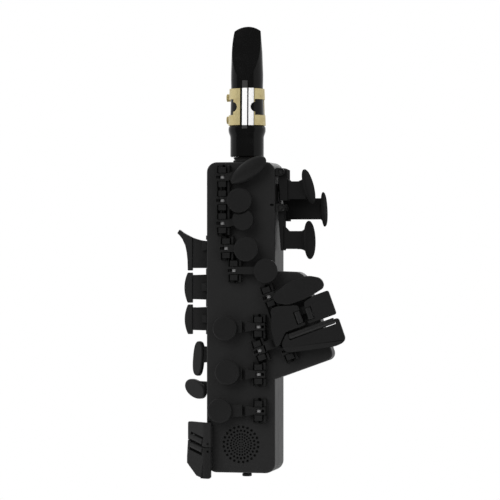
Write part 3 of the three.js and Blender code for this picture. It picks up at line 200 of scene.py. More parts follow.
def slab(name, corners, low, high, corner=0.0, edge=0.0, steps=4):
    """A plate from an outline's corners, rounded at the corners and along its outward edge."""
    deselect()
    bpy.ops.mesh.primitive_circle_add(vertices=len(corners), fill_type="NGON")
    piece = named(name)
    for vertex, (x, y) in zip(piece.data.vertices, corners):
        vertex.co = (x, y, low)
    bpy.ops.object.mode_set(mode="EDIT")
    if corner:
        bpy.ops.mesh.select_mode(type="VERT")
        bpy.ops.mesh.select_all(action="SELECT")
        bpy.ops.mesh.bevel(offset=corner, segments=2 * steps, affect="VERTICES", clamp_overlap=True)
    bpy.ops.mesh.select_mode(type="FACE")
    bpy.ops.mesh.select_all(action="SELECT")
    bpy.ops.mesh.extrude_region_move(TRANSFORM_OT_translate={"value": (0, 0, high - low)})
    if edge:
        nearly = high - 0.01 * MM
        select_edges(lambda a, b: a.z > nearly and b.z > nearly)
        bpy.ops.mesh.bevel(offset=edge, segments=steps, affect="EDGES", clamp_overlap=True)
    face_outwards()
    return piece


def cuboid(name, x, y, z):
    """A block between pairs of places along the three axes."""
    corners = [(x[0], y[0]), (x[1], y[0]), (x[1], y[1]), (x[0], y[1])]
    return slab(name, corners, z[0], z[1])


def turned(name, rings, sides=64):
    """A round solid about local Z: a disc is extruded and scaled from ring to ring of radius and height."""
    deselect()
    radius, height = rings[0]
    bpy.ops.mesh.primitive_circle_add(vertices=sides, radius=radius, fill_type="NGON")
    piece = named(name)
    bpy.ops.object.mode_set(mode="EDIT")
    bpy.ops.mesh.select_mode(type="FACE")
    bpy.ops.mesh.select_all(action="SELECT")
    bpy.ops.transform.translate(value=(0, 0, height))
    for next_radius, next_height in rings[1:]:
        rise = {"value": (0, 0, next_height - height)}
        bpy.ops.mesh.extrude_region_move(TRANSFORM_OT_translate=rise)
        share = next_radius / radius
        bpy.ops.transform.resize(value=(share, share, 1), center_override=(0, 0, next_height))
        radius, height = next_radius, next_height
    face_outwards()
    return piece


def arc_rings(radius, height, edge, steps=4, way=1):
    """Rings that round a turned solid's rim, from its side onto its end."""
    rings = []
    for i in range(steps + 1):
        angle = math.pi / 2 * i / steps
        rings.append((radius - edge * (1 - math.cos(angle)), height - way * edge * (1 - math.sin(angle))))
    return rings if way > 0 else rings[::-1]


def rod(name, radius, start, end, edge=0.0, sides=48):
    """A round bar from one point to another, with its rims rounded."""
    start, end = Vector(start), Vector(end)
    length = (end - start).length
    if edge:
        rings = arc_rings(radius, 0, edge, way=-1) + arc_rings(radius, length, edge)
    else:
        rings = [(radius, 0), (radius, length)]
    turn = (end - start).to_track_quat("Z", "Y").to_matrix().to_4x4()
    return place(turned(name, rings, sides), Matrix.Translation(start) @ turn)


def joined(name, parts):
    """Several shells as one piece."""
    deselect()
    for part in parts:
        part.select_set(True)
    bpy.context.view_layer.objects.active = parts[0]
    bpy.ops.object.join()
    return named(name)


def shaped(piece, operation, tools):
    """Cuts tools away from a piece, or adds them to it, with the Boolean modifier."""
    for tool in tools:
        step = piece.modifiers.new("shape", "BOOLEAN")
        step.operation = operation
        step.solver = "EXACT"
        step.object = tool
        apply_modifier(piece, step)
        bpy.data.objects.remove(tool)
    return piece


def cut(piece, *tools):
    return shaped(piece, "DIFFERENCE", tools)


def fuse(piece, *tools):
    return shaped(piece, "UNION", tools)


def soften(piece, width=0.0, steps=2, angle=32):
    """Rounds every edge that turns sharply, and shades the broad faces flat."""
    if width:
        rounding = piece.modifiers.new("rounding", "BEVEL")
        rounding.width = width
        rounding.segments = steps
        rounding.limit_method = "ANGLE"
        rounding.angle_limit = math.radians(angle)
        rounding.use_clamp_overlap = True
        apply_modifier(piece, rounding)
    take(piece)
    bpy.ops.object.shade_smooth_by_angle(angle=math.radians(angle))
    weights = piece.modifiers.new("weights", "WEIGHTED_NORMAL")
    weights.keep_sharp = True
    apply_modifier(piece, weights)
    return piece


def sliced(piece, point, outwards):
    """Takes off what lies beyond a plane and closes the cut."""
    take(piece)
    bpy.ops.object.mode_set(mode="EDIT")
    bpy.ops.mesh.select_all(action="SELECT")
    bpy.ops.mesh.bisect(plane_co=point, plane_no=outwards, use_fill=True, clear_outer=True)
    bpy.ops.object.mode_set(mode="OBJECT")
    return piece


def merged_copy(node, name):
    """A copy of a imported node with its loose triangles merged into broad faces."""
    take(frame["nodes"][node])
    bpy.ops.object.duplicate()
    piece = named(name)
    for key in list(piece.keys()):
        del piece[key]
    piece.parent = None
    bpy.ops.object.mode_set(mode="EDIT")
    bpy.ops.mesh.select_all(action="SELECT")
    bpy.ops.mesh.remove_doubles(threshold=0.002 * MM)
    bpy.ops.mesh.dissolve_limited(angle_limit=math.radians(1))
    bpy.ops.object.mode_set(mode="OBJECT")
    return piece


def fitted(piece, body, slot, finish, *nodes):
    """Gives a finished piece its material, the body that carries it and the nodes that it stands for."""
    piece.data.materials.clear()
    piece.data.materials.append(finish)
    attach(piece, body)
    if nodes:
        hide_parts(*nodes)
    return piece


# Materials


class Wire:
    """An output of a node that takes part in sums, each of which adds a Math node."""

    def __init__(self, finish, socket):
        self.finish = finish
        self.socket = socket

    def maths(self, operation, first, second):
        return self.finish.add("ShaderNodeMath", {0: first, 1: second}, operation=operation)

    def __add__(self, other):
        return self.maths("ADD", self, other)

    def __sub__(self, other):
        return self.maths("SUBTRACT", self, other)

    def __rsub__(self, other):
        return self.maths("SUBTRACT", other, self)

    def __mul__(self, other):
        return self.maths("MULTIPLY", self, other)

    __radd__ = __add__
    __rmul__ = __mul__


class Nodes:
    """A node tree, with one method that adds any node."""

    def __init__(self, tree):
        self.tree = tree

    def add(self, kind, inputs=None, output=0, stops=None, **settings):
        node = self.tree.nodes.new(kind)
        for name, value in settings.items():
            setattr(node, name, value)
        if stops:
            ramp = node.color_ramp
            while len(ramp.elements) < len(stops):
                ramp.elements.new(1)
            for element, (position, colour) in zip(ramp.elements, stops):
                element.position = position
                element.color = (*colour, 1)
        for socket, value in (inputs or {}).items():
            self.join(node.inputs[socket], value)
        return Wire(self, node.outputs[output])

    def join(self, socket, value):
        if isinstance(value, Wire):
            self.tree.links.new(value.socket, socket)
        else:
            socket.default_value = value

    def vector_maths(self, operation, first, second=(0, 0, 0), output="Vector"):
        return self.add("ShaderNodeVectorMath", {0: first, 1: second}, output=output, operation=operation)

    def dot(self, first, second):
        return self.vector_maths("DOT_PRODUCT", first, second, output="Value")

    def share(self, value, low, high):
        """A value's place between two levels, from 0 to 1."""
        inputs = {"Value": value, "From Min": low, "From Max": high}
        return self.add("ShaderNodeMapRange", inputs, interpolation_type="SMOOTHSTEP")


class Finish(Nodes):
    """A material around one Principled shader."""

    def __init__(self, name, constants):
        self.material = bpy.data.materials.new(name)
        self.material.use_nodes = True
        super().__init__(self.material.node_tree)
        self.shader = self.tree.nodes["Principled BSDF"]
        for socket, value in constants.items():
            self.shader.inputs[socket].default_value = value
        self.place = self.add("ShaderNodeTexCoord", output="Object")

    def set(self, socket, value):
        self.join(self.shader.inputs[socket], value)

    def stretched(self, scale):
        """The object's coordinates, scaled along each axis."""
        return self.add("ShaderNodeMapping", {"Vector": self.place, "Scale": scale})

    def noise(self, scale, detail=3.0, place=None):
        inputs = {"Vector": place or self.place, "Scale": scale, "Detail": detail, "Roughness": 0.55}
        return self.add("ShaderNodeTexNoise", inputs)

    def ramp(self, factor, stops):
        return self.add("ShaderNodeValToRGB", {"Fac": factor}, stops=stops)

    def blend(self, factor, first, second):
        inputs = {0: factor, 6: first, 7: second}
        return self.add("ShaderNodeMix", inputs, output=2, data_type="RGBA")

    def bump(self, height, strength, distance):
        inputs = {"Height": height, "Strength": strength, "Distance": distance}
        self.set("Normal", self.add("ShaderNodeBump", inputs))


def grey(level):
    return (level, level, level, 1)


def moulded(name, level, roughness, grain=0.35 * MM, shine=0.14):
    """Black moulded plastic: a spark-eroded grain, slow changes of tone and faint rubbed marks."""
    finish = Finish(name, {"Specular IOR Level": shine})
    texture = finish.noise(1 / grain, detail=4)
    slow = finish.noise(38, detail=2)
    streaks = finish.noise(1, detail=5, place=finish.stretched((900, 900, 70)))
    rubbed = finish.share(streaks, 0.62, 0.78)
    tone = finish.blend(slow, grey(level * 0.86), grey(level * 1.14))
    fleck = finish.blend(finish.share(texture, 0.35, 0.7), tone, grey(level * 1.25))
    finish.set("Base Color", finish.blend(rubbed * 0.3, fleck, grey(level * 1.7)))
    finish.set("Roughness", roughness - 0.08 + slow * 0.1 + texture * 0.08 - rubbed * 0.1)
    finish.bump(texture, 0.35, 0.02 * MM)
    return finish.material


def hard_rubber():
    """Polished black hard rubber with hairline turning marks and a few finger smudges."""
    finish = Finish("polished_hard_rubber", {"Specular IOR Level": 0.16})
    turning = finish.noise(1, detail=4, place=finish.stretched((60, 60, 5200)))
    smudge = finish.share(finish.noise(95, detail=5), 0.5, 0.72)
    finish.set("Base Color", finish.blend(smudge * 0.5, grey(0.0045), grey(0.0065)))
    finish.set("Roughness", 0.13 + smudge * 0.16 + turning * 0.05)
    finish.bump(turning, 0.12, 0.01 * MM)
    return finish.material


def lacquered_brass():
    """Pale gold lacquer over brushed brass, a little darker where fingers have worn it."""
    finish = Finish("pale_gold_lacquer", {"Metallic": 0.45, "Specular IOR Level": 0.3})
    brushed = finish.noise(1, detail=6, place=finish.stretched((300, 300, 9000)))
    worn = finish.share(finish.noise(160, detail=4), 0.45, 0.75)
    colour = finish.blend(brushed, (0.6, 0.5, 0.245, 1), (0.68, 0.585, 0.31, 1))
    finish.set("Base Color", finish.blend(worn * 0.5, colour, (0.47, 0.36, 0.163, 1)))
    finish.set("Roughness", 0.34 + brushed * 0.12 + worn * 0.1)
    finish.bump(brushed, 0.15, 0.01 * MM)
    return finish.material


def bright_steel(name, level, scale, roughness=0.16, metallic=1.0):
    """Turned or polished steel with fine lines across the given scale of the coordinates."""
    finish = Finish(name, {"Metallic": metallic})
    lines = finish.noise(1, detail=5, place=finish.stretched(scale))
    finish.set("Base Color", finish.blend(lines, grey(level * 0.92), grey(level)))
    finish.set("Roughness", roughness + lines * 0.14)
    finish.bump(lines, 0.12, 0.008 * MM)
    return finish.material


def sheet_cork():
    """Pressed cork: cells that grow lighter towards their edges, with a few dark specks."""
    finish = Finish("sheet_cork", {"Specular IOR Level": 0.2})
    cells = finish.add("ShaderNodeTexVoronoi", {"Vector": finish.place, "Scale": 1400.0}, output="Distance")
    specks = finish.share(finish.noise(900, detail=5), 0.55, 0.68)
    stops = [(0.0, (0.34, 0.17, 0.07)), (0.55, (0.52, 0.3, 0.13)), (1.0, (0.62, 0.4, 0.2))]
    colour = finish.ramp(cells, stops)
    finish.set("Base Color", finish.blend(specks, colour, (0.16, 0.07, 0.03, 1)))
    finish.set("Roughness", 0.8 + cells * 0.15)
    finish.bump(cells, 0.5, 0.08 * MM)
    return finish.material


def cut_cane():
    """Reed cane with fibres and darker vessels along it."""
    finish = Finish("cut_cane", {"Specular IOR Level": 0.35})
    fibres = finish.noise(1, detail=6, place=finish.stretched((2600, 2600, 60)))
    vessels = finish.share(finish.noise(1, detail=2, place=finish.stretched((4200, 4200, 35))), 0.64, 0.74)
    colour = finish.blend(fibres, (0.6, 0.44, 0.2, 1), (0.82, 0.68, 0.4, 1))
    finish.set("Base Color", finish.blend(vessels * 0.7, colour, (0.35, 0.22, 0.08, 1)))
    finish.set("Roughness", 0.5 + fibres * 0.2)
    finish.bump(fibres, 0.3, 0.03 * MM)
    return finish.material


def lacquered_board():
    """A green circuit board with its copper tracks showing dark and light through the lacquer."""
    finish = Finish("lacquered_board", {"Specular IOR Level": 0.5})
    inputs = {"Vector": finish.place, "Scale": 260.0, "Mortar Size": 0.012}
    tracks = finish.add("ShaderNodeTexBrick", inputs, output="Fac")
    finish.set("Base Color", finish.blend(tracks, (0.008, 0.11, 0.035, 1), (0.03, 0.22, 0.07, 1)))
    finish.set("Roughness", 0.35 + finish.noise(700) * 0.15)
    return finish.material


def cell_wrap():
    """Grey shrink wrap with long wrinkles."""
    finish = Finish("shrink_wrap", {"Specular IOR Level": 0.4})
    wrinkles = finish.noise(1, detail=4, place=finish.stretched((240, 240, 60)))
    finish.set("Base Color", finish.blend(wrinkles, (0.2, 0.23, 0.26, 1), (0.31, 0.34, 0.37, 1)))
    finish.set("Roughness", 0.28 + wrinkles * 0.25)
    finish.bump(wrinkles, 0.4, 0.1 * MM)
    return finish.material


def smoked_lens():
    """The dark window of the indicator light."""
    finish = Finish("smoked_lens", {"Specular IOR Level": 0.2})
    haze = finish.noise(400, detail=3)
    finish.set("Base Color", finish.blend(haze, grey(0.002), grey(0.006)))
    finish.set("Roughness", 0.08 + haze * 0.08)
    return finish.material


CASE_PLASTIC = moulded("case_plastic", 0.015, 0.42)
KEY_PLASTIC = moulded("key_plastic", 0.0102, 0.47, grain=0.28 * MM)
# A lighter copy of the key plastic for the keys on the left side; the extra lightness is painted light, for the
# key lamp falling on that side.
SIDE_PLASTIC_PAINTED_LIGHT = moulded("side_plastic", 0.0145, 0.45, grain=0.28 * MM)
GRILLE_CLOTH = moulded("grille_cloth", 0.01, 0.7, grain=0.5 * MM)
# A matte, low-shine plastic for the palm keys, also set darker than the key plastic as painted shade.
PALM_PLASTIC_PAINTED_SHADE = moulded("matte_palm_plastic_painted_shade", 0.0088, 0.78, grain=0.28 * MM, shine=0.03)
SPEAKER_PLASTIC = moulded("speaker_plastic", 0.01, 0.7)
SCREW_BLACK = bright_steel("black_oxide_steel", 0.02, (900, 900, 900), roughness=0.4)
RUBBER = hard_rubber()
BRASS = lacquered_brass()
# Nearly white and barely metallic: the colour of the ligature's two front strips is a painted reflection of a
# strip of light.
STRIP_PAINTED_REFLECTION = bright_steel("white_strip_painted_reflection", 0.96, (300, 300, 9000), roughness=0.34, metallic=0.05)
# Grey, barely metallic steel for the pivot sleeves, at the level of the glint in the hub windows: a painted glint.
SLEEVE_PAINTED_GLINT = bright_steel("sleeve_steel_painted_glint", 0.26, (300, 300, 9000), roughness=0.4, metallic=0.2)
# Dull grey for the tongue under the left strip, where it reaches past the band; its grey is a painted reflection
# of the strip of light on the mouthpiece.
TONGUE_PAINTED_REFLECTION = bright_steel("grey_tongue_painted_reflection", 0.045, (300, 300, 9000), roughness=0.3, metallic=0.1)
DULL_BLACK = bright_steel("dull_black_steel", 0.009, (900, 900, 900), roughness=0.6, metallic=0.0)
# A glossier plastic for the table's rollers, also set lighter than the key plastic as a painted highlight along
# them.
ROLLER_PLASTIC_PAINTED_HIGHLIGHT = moulded("roller_plastic", 0.012, 0.38, grain=0.2 * MM, shine=0.25)
STEEL = bright_steel("turned_steel", 0.6, (300, 300, 9000), roughness=0.42)
CORK = sheet_cork()
CANE = cut_cane()
BOARD = lacquered_board()
WRAP = cell_wrap()
LENS = smoked_lens()

# Case

COVER_DEPTH = 12 * MM
CASE_CORNER = 7 * MM
FRONT_EDGE = 1.5 * MM
REAR_EDGE = 4 * MM
BODY_HEIGHT = TOP - FOOT
TABLE_PIVOT = (21.3 * MM, 123.7 * MM)
WING = {"left": -20 * MM, "right": 28 * MM, "bottom": -55.5 * MM, "right_top": 8 * MM}
WING_CREST = (3 * MM, 18.2 * MM)
WING_CORNER = 5 * MM
GRILLE = {"x": 0.3 * MM, "z": 20 * MM, "radius": 12.4 * MM, "face": 1.3 * MM, "margin": 1.8 * MM}
GRILLE_RINGS = [
    (24, 0.5, GRILLE["radius"], 0.98 * MM),
    (24, 0, 9.75 * MM, 0.84 * MM),
    (24, 0.5, 7.3 * MM, 0.68 * MM),
    (18, 0, 5.3 * MM, 0.62 * MM),
    (12, 0.5, 3.45 * MM, 0.56 * MM),
    (6, 0, 1.65 * MM, 0.5 * MM),
]
CLOTH = {"top": 0.05 * MM, "low": 0.4 * MM}
CLOTH_RADIUS = GRILLE["radius"] + GRILLE["margin"]
LIGHT_SLOT = {"x": 22.4 * MM, "z": 187.8 * MM, "half": 1.4 * MM, "width": 1.7 * MM, "depth": 0.7 * WALL}
MIDDLE_DEPTH = BACK - BODY_DEPTH / 2
NECK_Y = MIDDLE_DEPTH + 4.5 * MM
PUSH_Y = MIDDLE_DEPTH + 1 * MM
PUSH_HEIGHTS = {"high_f_sharp_key": 84 * MM, "alt_f_sharp_key": 58.2 * MM}
NECK_SOCKET = 6.3 * MM
BUTTON_WAY = 4 * MM
END_BUTTON = [(4.8, -3.5), (4.8, -2.3), (2.3, -2.3), (2.3, 1.8), (3.1, 2.0), (3.4, 2.4)]
BUTTON_CAP = {"radius": 3.4 * MM, "height": 4.1 * MM, "edge": 0.6 * MM}
BUTTON_HOLLOW = (1.4 * MM, 4.0 * MM)
CASE_SCREWS = [(x * MM, z * MM) for x in (-17.5, 17.5) for z in (32, 196)]
CASE_SCREW = {"radius": 1.9 * MM, "recess": 2.3 * MM, "depth": 1.2 * MM}
DEEP = 3 * WALL


def case_outline(inset):
    half = HALF_WIDTH - inset
    low, high = inset, BODY_HEIGHT - inset
    return [(-half, low), (half, low), (half, high), (-half, high)]


def wing_outline(inset):
    left, right = WING["left"] + inset, WING["right"] - inset
    bottom = WING["bottom"] + inset
    crest = (WING_CREST[0], WING_CREST[1] - inset)
    return [(left, bottom), (right, bottom), (right, WING["right_top"] - inset), crest, (left, 0)]


def on_table():
    """Turns a drawing to the leaning table, with its origin under the G sharp key's pivot."""
    x, z = TABLE_PIVOT
    lean = Matrix.Rotation(-TABLE_LEAN, 4, "Y")
    return Matrix.Translation((x, FRONT, FOOT + z)) @ lean @ FACING_FRONT


def socket_screw(name, radius, height):
    """A low screw head with a six-sided socket, standing on local Z = 0."""
    head = turned(name, [(radius, 0), *arc_rings(radius, height, 0.25 * radius)], sides=32)
    socket = turned("socket", [(radius * 0.5, height * 0.3), (radius * 0.5, 2 * height)], sides=6)
    return soften(cut(head, socket))


def grille_drills():
    """All the sound holes in one cutting tool, in rings that shrink towards the middle."""
    drills = turned("grille_drills", [(0.3 * MM, -DEEP), (0.3 * MM, DEEP)], sides=10)
    place(drills, Matrix.Translation((GRILLE["x"], GRILLE["z"], 0)))
    bpy.ops.object.mode_set(mode="EDIT")
    for holes, shift, radius, size in GRILLE_RINGS:
        for i in range(holes):
            angle = 2 * math.pi * (i + shift) / holes
            x, z = GRILLE["x"] + radius * math.cos(angle), GRILLE["z"] + radius * math.sin(angle)
            bpy.ops.mesh.primitive_cylinder_add(vertices=10, radius=size, depth=DEEP, location=(x, z, 0))
    bpy.ops.object.mode_set(mode="OBJECT")
    return drills


def front_cover():
    """The front shell with its wing, sound holes and indicator window."""
    body = slab("front_shell", case_outline(0), -COVER_DEPTH, 0, CASE_CORNER, FRONT_EDGE)
    room = slab("room", case_outline(WALL), -COVER_DEPTH - WALL, -WALL, CASE_CORNER - WALL)
    wing = slab("wing", wing_outline(0), -COVER_DEPTH, 0, WING_CORNER, FRONT_EDGE)
    wing_room = slab("wing_room", wing_outline(WALL), WALL - COVER_DEPTH, -WALL, WING_CORNER - WALL)
    half, width = LIGHT_SLOT["half"], LIGHT_SLOT["width"] / 2
    window = slab("window", rectangle(half, width), -LIGHT_SLOT["depth"], WALL, width)
    cover = fuse(place(body, on_front(0, 0)), place(wing, on_table()))
    cut(cover, place(room, on_front(0, 0)), place(wing_room, on_table()))
    thinned = turned("thinned", [(CLOTH_RADIUS, -DEEP), (CLOTH_RADIUS, -GRILLE["face"])], sides=64)
    cut(cover, place(thinned, on_front(GRILLE["x"], GRILLE["z"])))
    cut(cover, place(grille_drills(), on_front(0, 0)))
    cut(cover, place(window, on_front(LIGHT_SLOT["x"], LIGHT_SLOT["z"])))
    fitted(soften(cover), "case", "cover_plastic", CASE_PLASTIC, "front_cover")


def front_trim():
    """The cloth behind the sound holes and the indicator's lens."""
    radius, face = CLOTH_RADIUS - SEAM, GRILLE["face"]
    cloth = turned("grille_cloth", [(radius, -face - CLOTH["low"]), (radius, -face - CLOTH["top"])], sides=64)
    place(cloth, on_front(GRILLE["x"], GRILLE["z"]))
    fitted(soften(cloth), "case", "speaker_plastic", GRILLE_CLOTH)
    half, width = LIGHT_SLOT["half"], LIGHT_SLOT["width"] / 2
    lens = slab("indicator_lens", rectangle(half, width), 0, 0.3 * MM, width)
    place(lens, on_front(LIGHT_SLOT["x"], LIGHT_SLOT["z"], -LIGHT_SLOT["depth"]))
    fitted(soften(lens), "case", "speaker_plastic", LENS)


def rear_cover():
    """The rear shell with its openings, and the four screws that hold the case together."""
    depth = BODY_DEPTH - COVER_DEPTH - SEAM
    shell = slab("rear_shell", case_outline(0), -depth, 0, CASE_CORNER, REAR_EDGE, steps=6)
    room = slab("room", case_outline(WALL), -depth - WALL, -WALL, CASE_CORNER - WALL, WALL)
    cut(shell, room)
    wide, sunk = CASE_SCREW["recess"], CASE_SCREW["depth"]
    for x, z in CASE_SCREWS:
        recess = turned("recess", [(wide, -sunk), (wide, WALL)], sides=32)
        cut(shell, place(recess, Matrix.Translation((x, z, 0))))
    place(shell, Matrix.Translation((0, BACK, FOOT)) @ FACING_BACK)
    cut(shell, rod("socket", NECK_SOCKET, (0, NECK_Y, TOP - DEEP), (0, NECK_Y, TOP + DEEP)))
    cut(shell, rod("button_way", BUTTON_WAY, (0, NECK_Y, FOOT - DEEP), (0, NECK_Y, FOOT + DEEP)))
    for node, z in PUSH_HEIGHTS.items():
        low, high = (z + value * MM for value in PUSH_KEYS[node]["boot"][:2])
        y = (PUSH_Y - PUSH["boot_half"] - SEAM, PUSH_Y + PUSH["boot_half"] + SEAM)
        x = (-HALF_WIDTH - DEEP, -HALF_WIDTH + DEEP)
        cut(shell, cuboid("boot_way", x, y, (FOOT + low - SEAM, FOOT + high + SEAM)))
    fitted(soften(shell), "case", "cover_plastic", CASE_PLASTIC, "rear_cover")
    for number, (x, z) in enumerate(CASE_SCREWS, 1):
        screw = socket_screw(f"case_screw_{number}", CASE_SCREW["radius"], sunk)
        place(screw, Matrix.Translation((x, BACK - sunk, FOOT + z)) @ FACING_BACK)
        fitted(screw, "case", "steel", SCREW_BLACK)


def power_button():
    """A mushroom button in the lower end, with a shallow hollow in its cap."""
    rings = [*in_mm(END_BUTTON), *arc_rings(**BUTTON_CAP), BUTTON_HOLLOW]
    button = soften(turned("end_button", rings))
    place(button, Matrix.Translation((0, NECK_Y, FOOT)) @ Matrix.Rotation(math.pi, 4, "X"))
    fitted(button, "power_button", "key_plastic", KEY_PLASTIC, "power_button")


# Pivots: brackets, rods and hubs, drawn with local Y along the rod

HUB = {"half": 2.6 * MM, "back": 4.8 * MM, "front": 4.8 * MM, "low": 2.6 * MM}
LEVER = {"low": 3.4 * MM, "top": 6.2 * MM}
WINDOW = {"left": -4.2 * MM, "right": 1.8 * MM, "half": 1.0 * MM}
BASE = {"low": 0.3 * MM, "top": 0.9 * MM}
LUG = {"half": 2.7 * MM, "near": 2.95 * MM, "far": 6.9 * MM, "top": 6.4 * MM}
SIDE_WALL = {"near": 3.3 * MM, "far": 4.9 * MM, "top": 4.7 * MM}
SIDE_LIP = {"near": 4.0 * MM, "far": 4.7 * MM, "top": 3.6 * MM}
BRACKET_HALF = 8.6 * MM
SCREW_OUT = 8.05 * MM
BRACKET_SCREW = {"radius": 0.95 * MM, "rise": 0.8 * MM}


def bracket(name):
    """A channel with two lugs, a wall on its right and a low lip on its left."""
    half = BRACKET_HALF
    parts = [cuboid("base", (-SIDE_LIP["far"], SIDE_WALL["far"]), (-half, half), (BASE["low"], BASE["top"]))]
    for end in (-1, 1):
        span = sorted((end * LUG["near"], end * LUG["far"]))
        parts.append(cuboid("lug", (-LUG["half"], LUG["half"]), span, (BASE["low"], LUG["top"])))
        side_span = sorted((end * LUG["near"], end * (half - 0.4 * MM)))
        wall = (SIDE_WALL["near"], SIDE_WALL["far"])
        parts.append(cuboid("wall", wall, side_span, (BASE["low"], SIDE_WALL["top"])))
        lip = (-SIDE_LIP["far"], -SIDE_LIP["near"])
        parts.append(cuboid("lip", lip, side_span, (BASE["low"], SIDE_LIP["top"])))
    return soften(joined(name, parts), 0.22 * MM)


def bracket_screws(name, spots):
    """Small screws through brackets, each given by its bracket's place and its own local Y."""
    for number, (matrix, y) in enumerate(spots, 1):
        screw = socket_screw(f"{name}_screw_{number}", BRACKET_SCREW["radius"], BRACKET_SCREW["rise"])
        place(screw, matrix @ Matrix.Translation((0, y, BASE["top"])))
        fitted(screw, "case", "steel", SCREW_BLACK)


def hub(way):
    """A lever's end round its rod, flat on top, with a window that shows the rod."""
    half = HUB["half"]
    barrel = rod("barrel", BARREL, (0, -half, PIVOT_HEIGHT), (0, half, PIVOT_HEIGHT))
    ends = sorted((-way * HUB["back"], way * HUB["front"]))
    block = cuboid("block", ends, (-half, half), (HUB["low"], LEVER["top"]))
    sides = sorted((way * WINDOW["left"], way * WINDOW["right"]))
    window = cuboid("window", sides, (-WINDOW["half"], WINDOW["half"]), (-1 * MM, 2 * LEVER["top"]))
    return cut(fuse(block, barrel), window)


SLEEVE = {"radius": ROD + 0.03 * MM, "reach": 1.9 * MM}


def black_shaft(name, low, high, matrix, body, *nodes):
    """A blackened rod along local Y at the pivots' height."""
    bar = rod(name, ROD, (0, low, PIVOT_HEIGHT), (0, high, PIVOT_HEIGHT), ROD_ROUND)
    place(bar, matrix)
    fitted(soften(bar), body, "steel", SCREW_BLACK, *nodes)


def sleeve_with_painted_glint(name, matrix, body):
    """The turned sleeve on the shaft that shows in a hub's window, in an even grey that is a painted glint."""
    reach = SLEEVE["reach"]
    sleeve = rod(name, SLEEVE["radius"], (0, -reach, PIVOT_HEIGHT), (0, reach, PIVOT_HEIGHT), 0.1 * MM)
    place(sleeve, matrix)
    fitted(soften(sleeve), body, "steel", SLEEVE_PAINTED_GLINT)


# Touches and levers on the front

PAD = {"low": 6.8 * MM, "top": 9.2 * MM, "edge": 1.1 * MM, "post": 2.6 * MM}


def touch(radius):
    """A round touch with a rolled rim and a faint crown, drawn about its own middle."""
    rings = [(radius - 0.5 * MM, PAD["low"]), (radius, PAD["low"] + 0.4 * MM)]
    rings += arc_rings(radius, PAD["top"] - 0.12 * MM, PAD["edge"], steps=5)
    rings += [(radius * 0.75, PAD["top"] - 0.06 * MM), (radius * 0.4, PAD["top"]), (radius * 0.1, PAD["top"])]
    return turned("touch", rings, sides=72)


def moved(piece, x, y):
    return place(piece, Matrix.Translation((x, y, 0)))


def post(x, y):
    """The short post between a lever and its touch."""
    return rod("post", PAD["post"], (x, y, LEVER["low"]), (x, y, PAD["low"] + 0.5 * MM))


LEFT_KEYS = {
    "front_f_key": (18.8 * MM, 4.5 * MM, None),
    "b_key": (12.5 * MM, -0.1 * MM, 8.8 * MM),
    "bis_key": (15.3 * MM, 2.5 * MM, 7.4 * MM),
    "a_key": (14.6 * MM, -0.6 * MM, 8.65 * MM),
    "g_key": (23.2 * MM, -0.2 * MM, 8.5 * MM),
}
RIGHT_KEYS = {
    "f_key": (-23.3 * MM, -1.2 * MM, 8.65 * MM),
    "e_key": (-21.7 * MM, 1.2 * MM, 8.8 * MM),
    "d_key": (-27.2 * MM, -0.2 * MM, 8.6 * MM),
}
PINNED = ("a_key", "g_key")
EGG = {"length": 30 * MM, "width": 12.6 * MM, "rise": 5.4 * MM, "low": 7 * MM, "tilt": math.radians(35)}
BITE = 9.9 * MM


def egg_touch():
    """The front F key's domed touch: a ball drawn out, cut flat below and fuller at its upper end."""
    deselect()
    bpy.ops.mesh.primitive_uv_sphere_add(segments=64, ring_count=32, radius=1)
    piece = named("touch")
    bpy.ops.object.mode_set(mode="EDIT")
    bpy.ops.mesh.select_all(action="SELECT")
    bpy.ops.transform.rotate(value=math.pi / 2, orient_axis="Y", center_override=(0, 0, 0))
    bpy.ops.transform.resize(value=(EGG["length"] / 2, EGG["width"] / 2, EGG["rise"]))
    bpy.ops.mesh.bisect(plane_co=(0, 0, 0.2 * MM), plane_no=(0, 0, 1), use_fill=True, clear_inner=True)
    bpy.ops.object.mode_set(mode="OBJECT")
    for vertex in piece.data.vertices:
        along = vertex.co.x / (EGG["length"] / 2)
        vertex.co.y *= 1 + 0.1 * along
        vertex.co.z *= 1 - 0.12 * along * along
    soften(piece, 0.5 * MM, steps=3, angle=50)
    turn = Matrix.Rotation(EGG["tilt"], 4, "Z")
    return place(piece, Matrix.Translation((0, 0, EGG["low"])) @ turn)


def bitten_touch(radius, x, y):
    """The small touch below the B touch, hollowed where that one lies."""
    upper, own = PIVOTS["b_key"], PIVOTS["bis_key"]
    pad_x, pad_y, _ = LEFT_KEYS["b_key"]
    bite_x = upper.x + pad_x - own.x - x
    bite_y = upper.z + pad_y - own.z - y
    rings = [(radius - 0.3 * MM, PAD["low"]), (radius, PAD["low"] + 0.3 * MM), (radius, PAD["top"])]
    piece = turned("touch", rings, sides=72)
    bite = rod("bite", BITE, (bite_x, bite_y, 0), (bite_x, bite_y, 3 * PAD["top"]), sides=96)
    return soften(cut(piece, bite), 1.1 * MM, steps=4)


def left_key(node):
    """A lever from the rod on the left to its touch on the right."""
    x, y, radius = LEFT_KEYS[node]
    half, start = HUB["half"], HUB["front"] - 1 * MM
    corners = [(start, -half), (x, y - half), (x, y + half), (start, half)]
    bar = slab("bar", corners, LEVER["low"], LEVER["top"])
    body = soften(fuse(hub(1), bar), LEVER_ROUND)
    if node == "front_f_key":
        cap = egg_touch()
    elif node == "bis_key":
        cap = bitten_touch(radius, x, y)
    else:
        cap = soften(touch(radius))
    key = joined(node.replace("_key", "_lever"), [body, soften(post(x, y)), moved(cap, x, y)])
    place(key, at_pivot(node))
    fitted(key, node, "key_plastic", KEY_PLASTIC, node)


STEP = {"near": 9.2 * MM, "far": 11.6 * MM, "drop": 3.3 * MM, "half": 3.7 * MM, "end": 4.8 * MM}


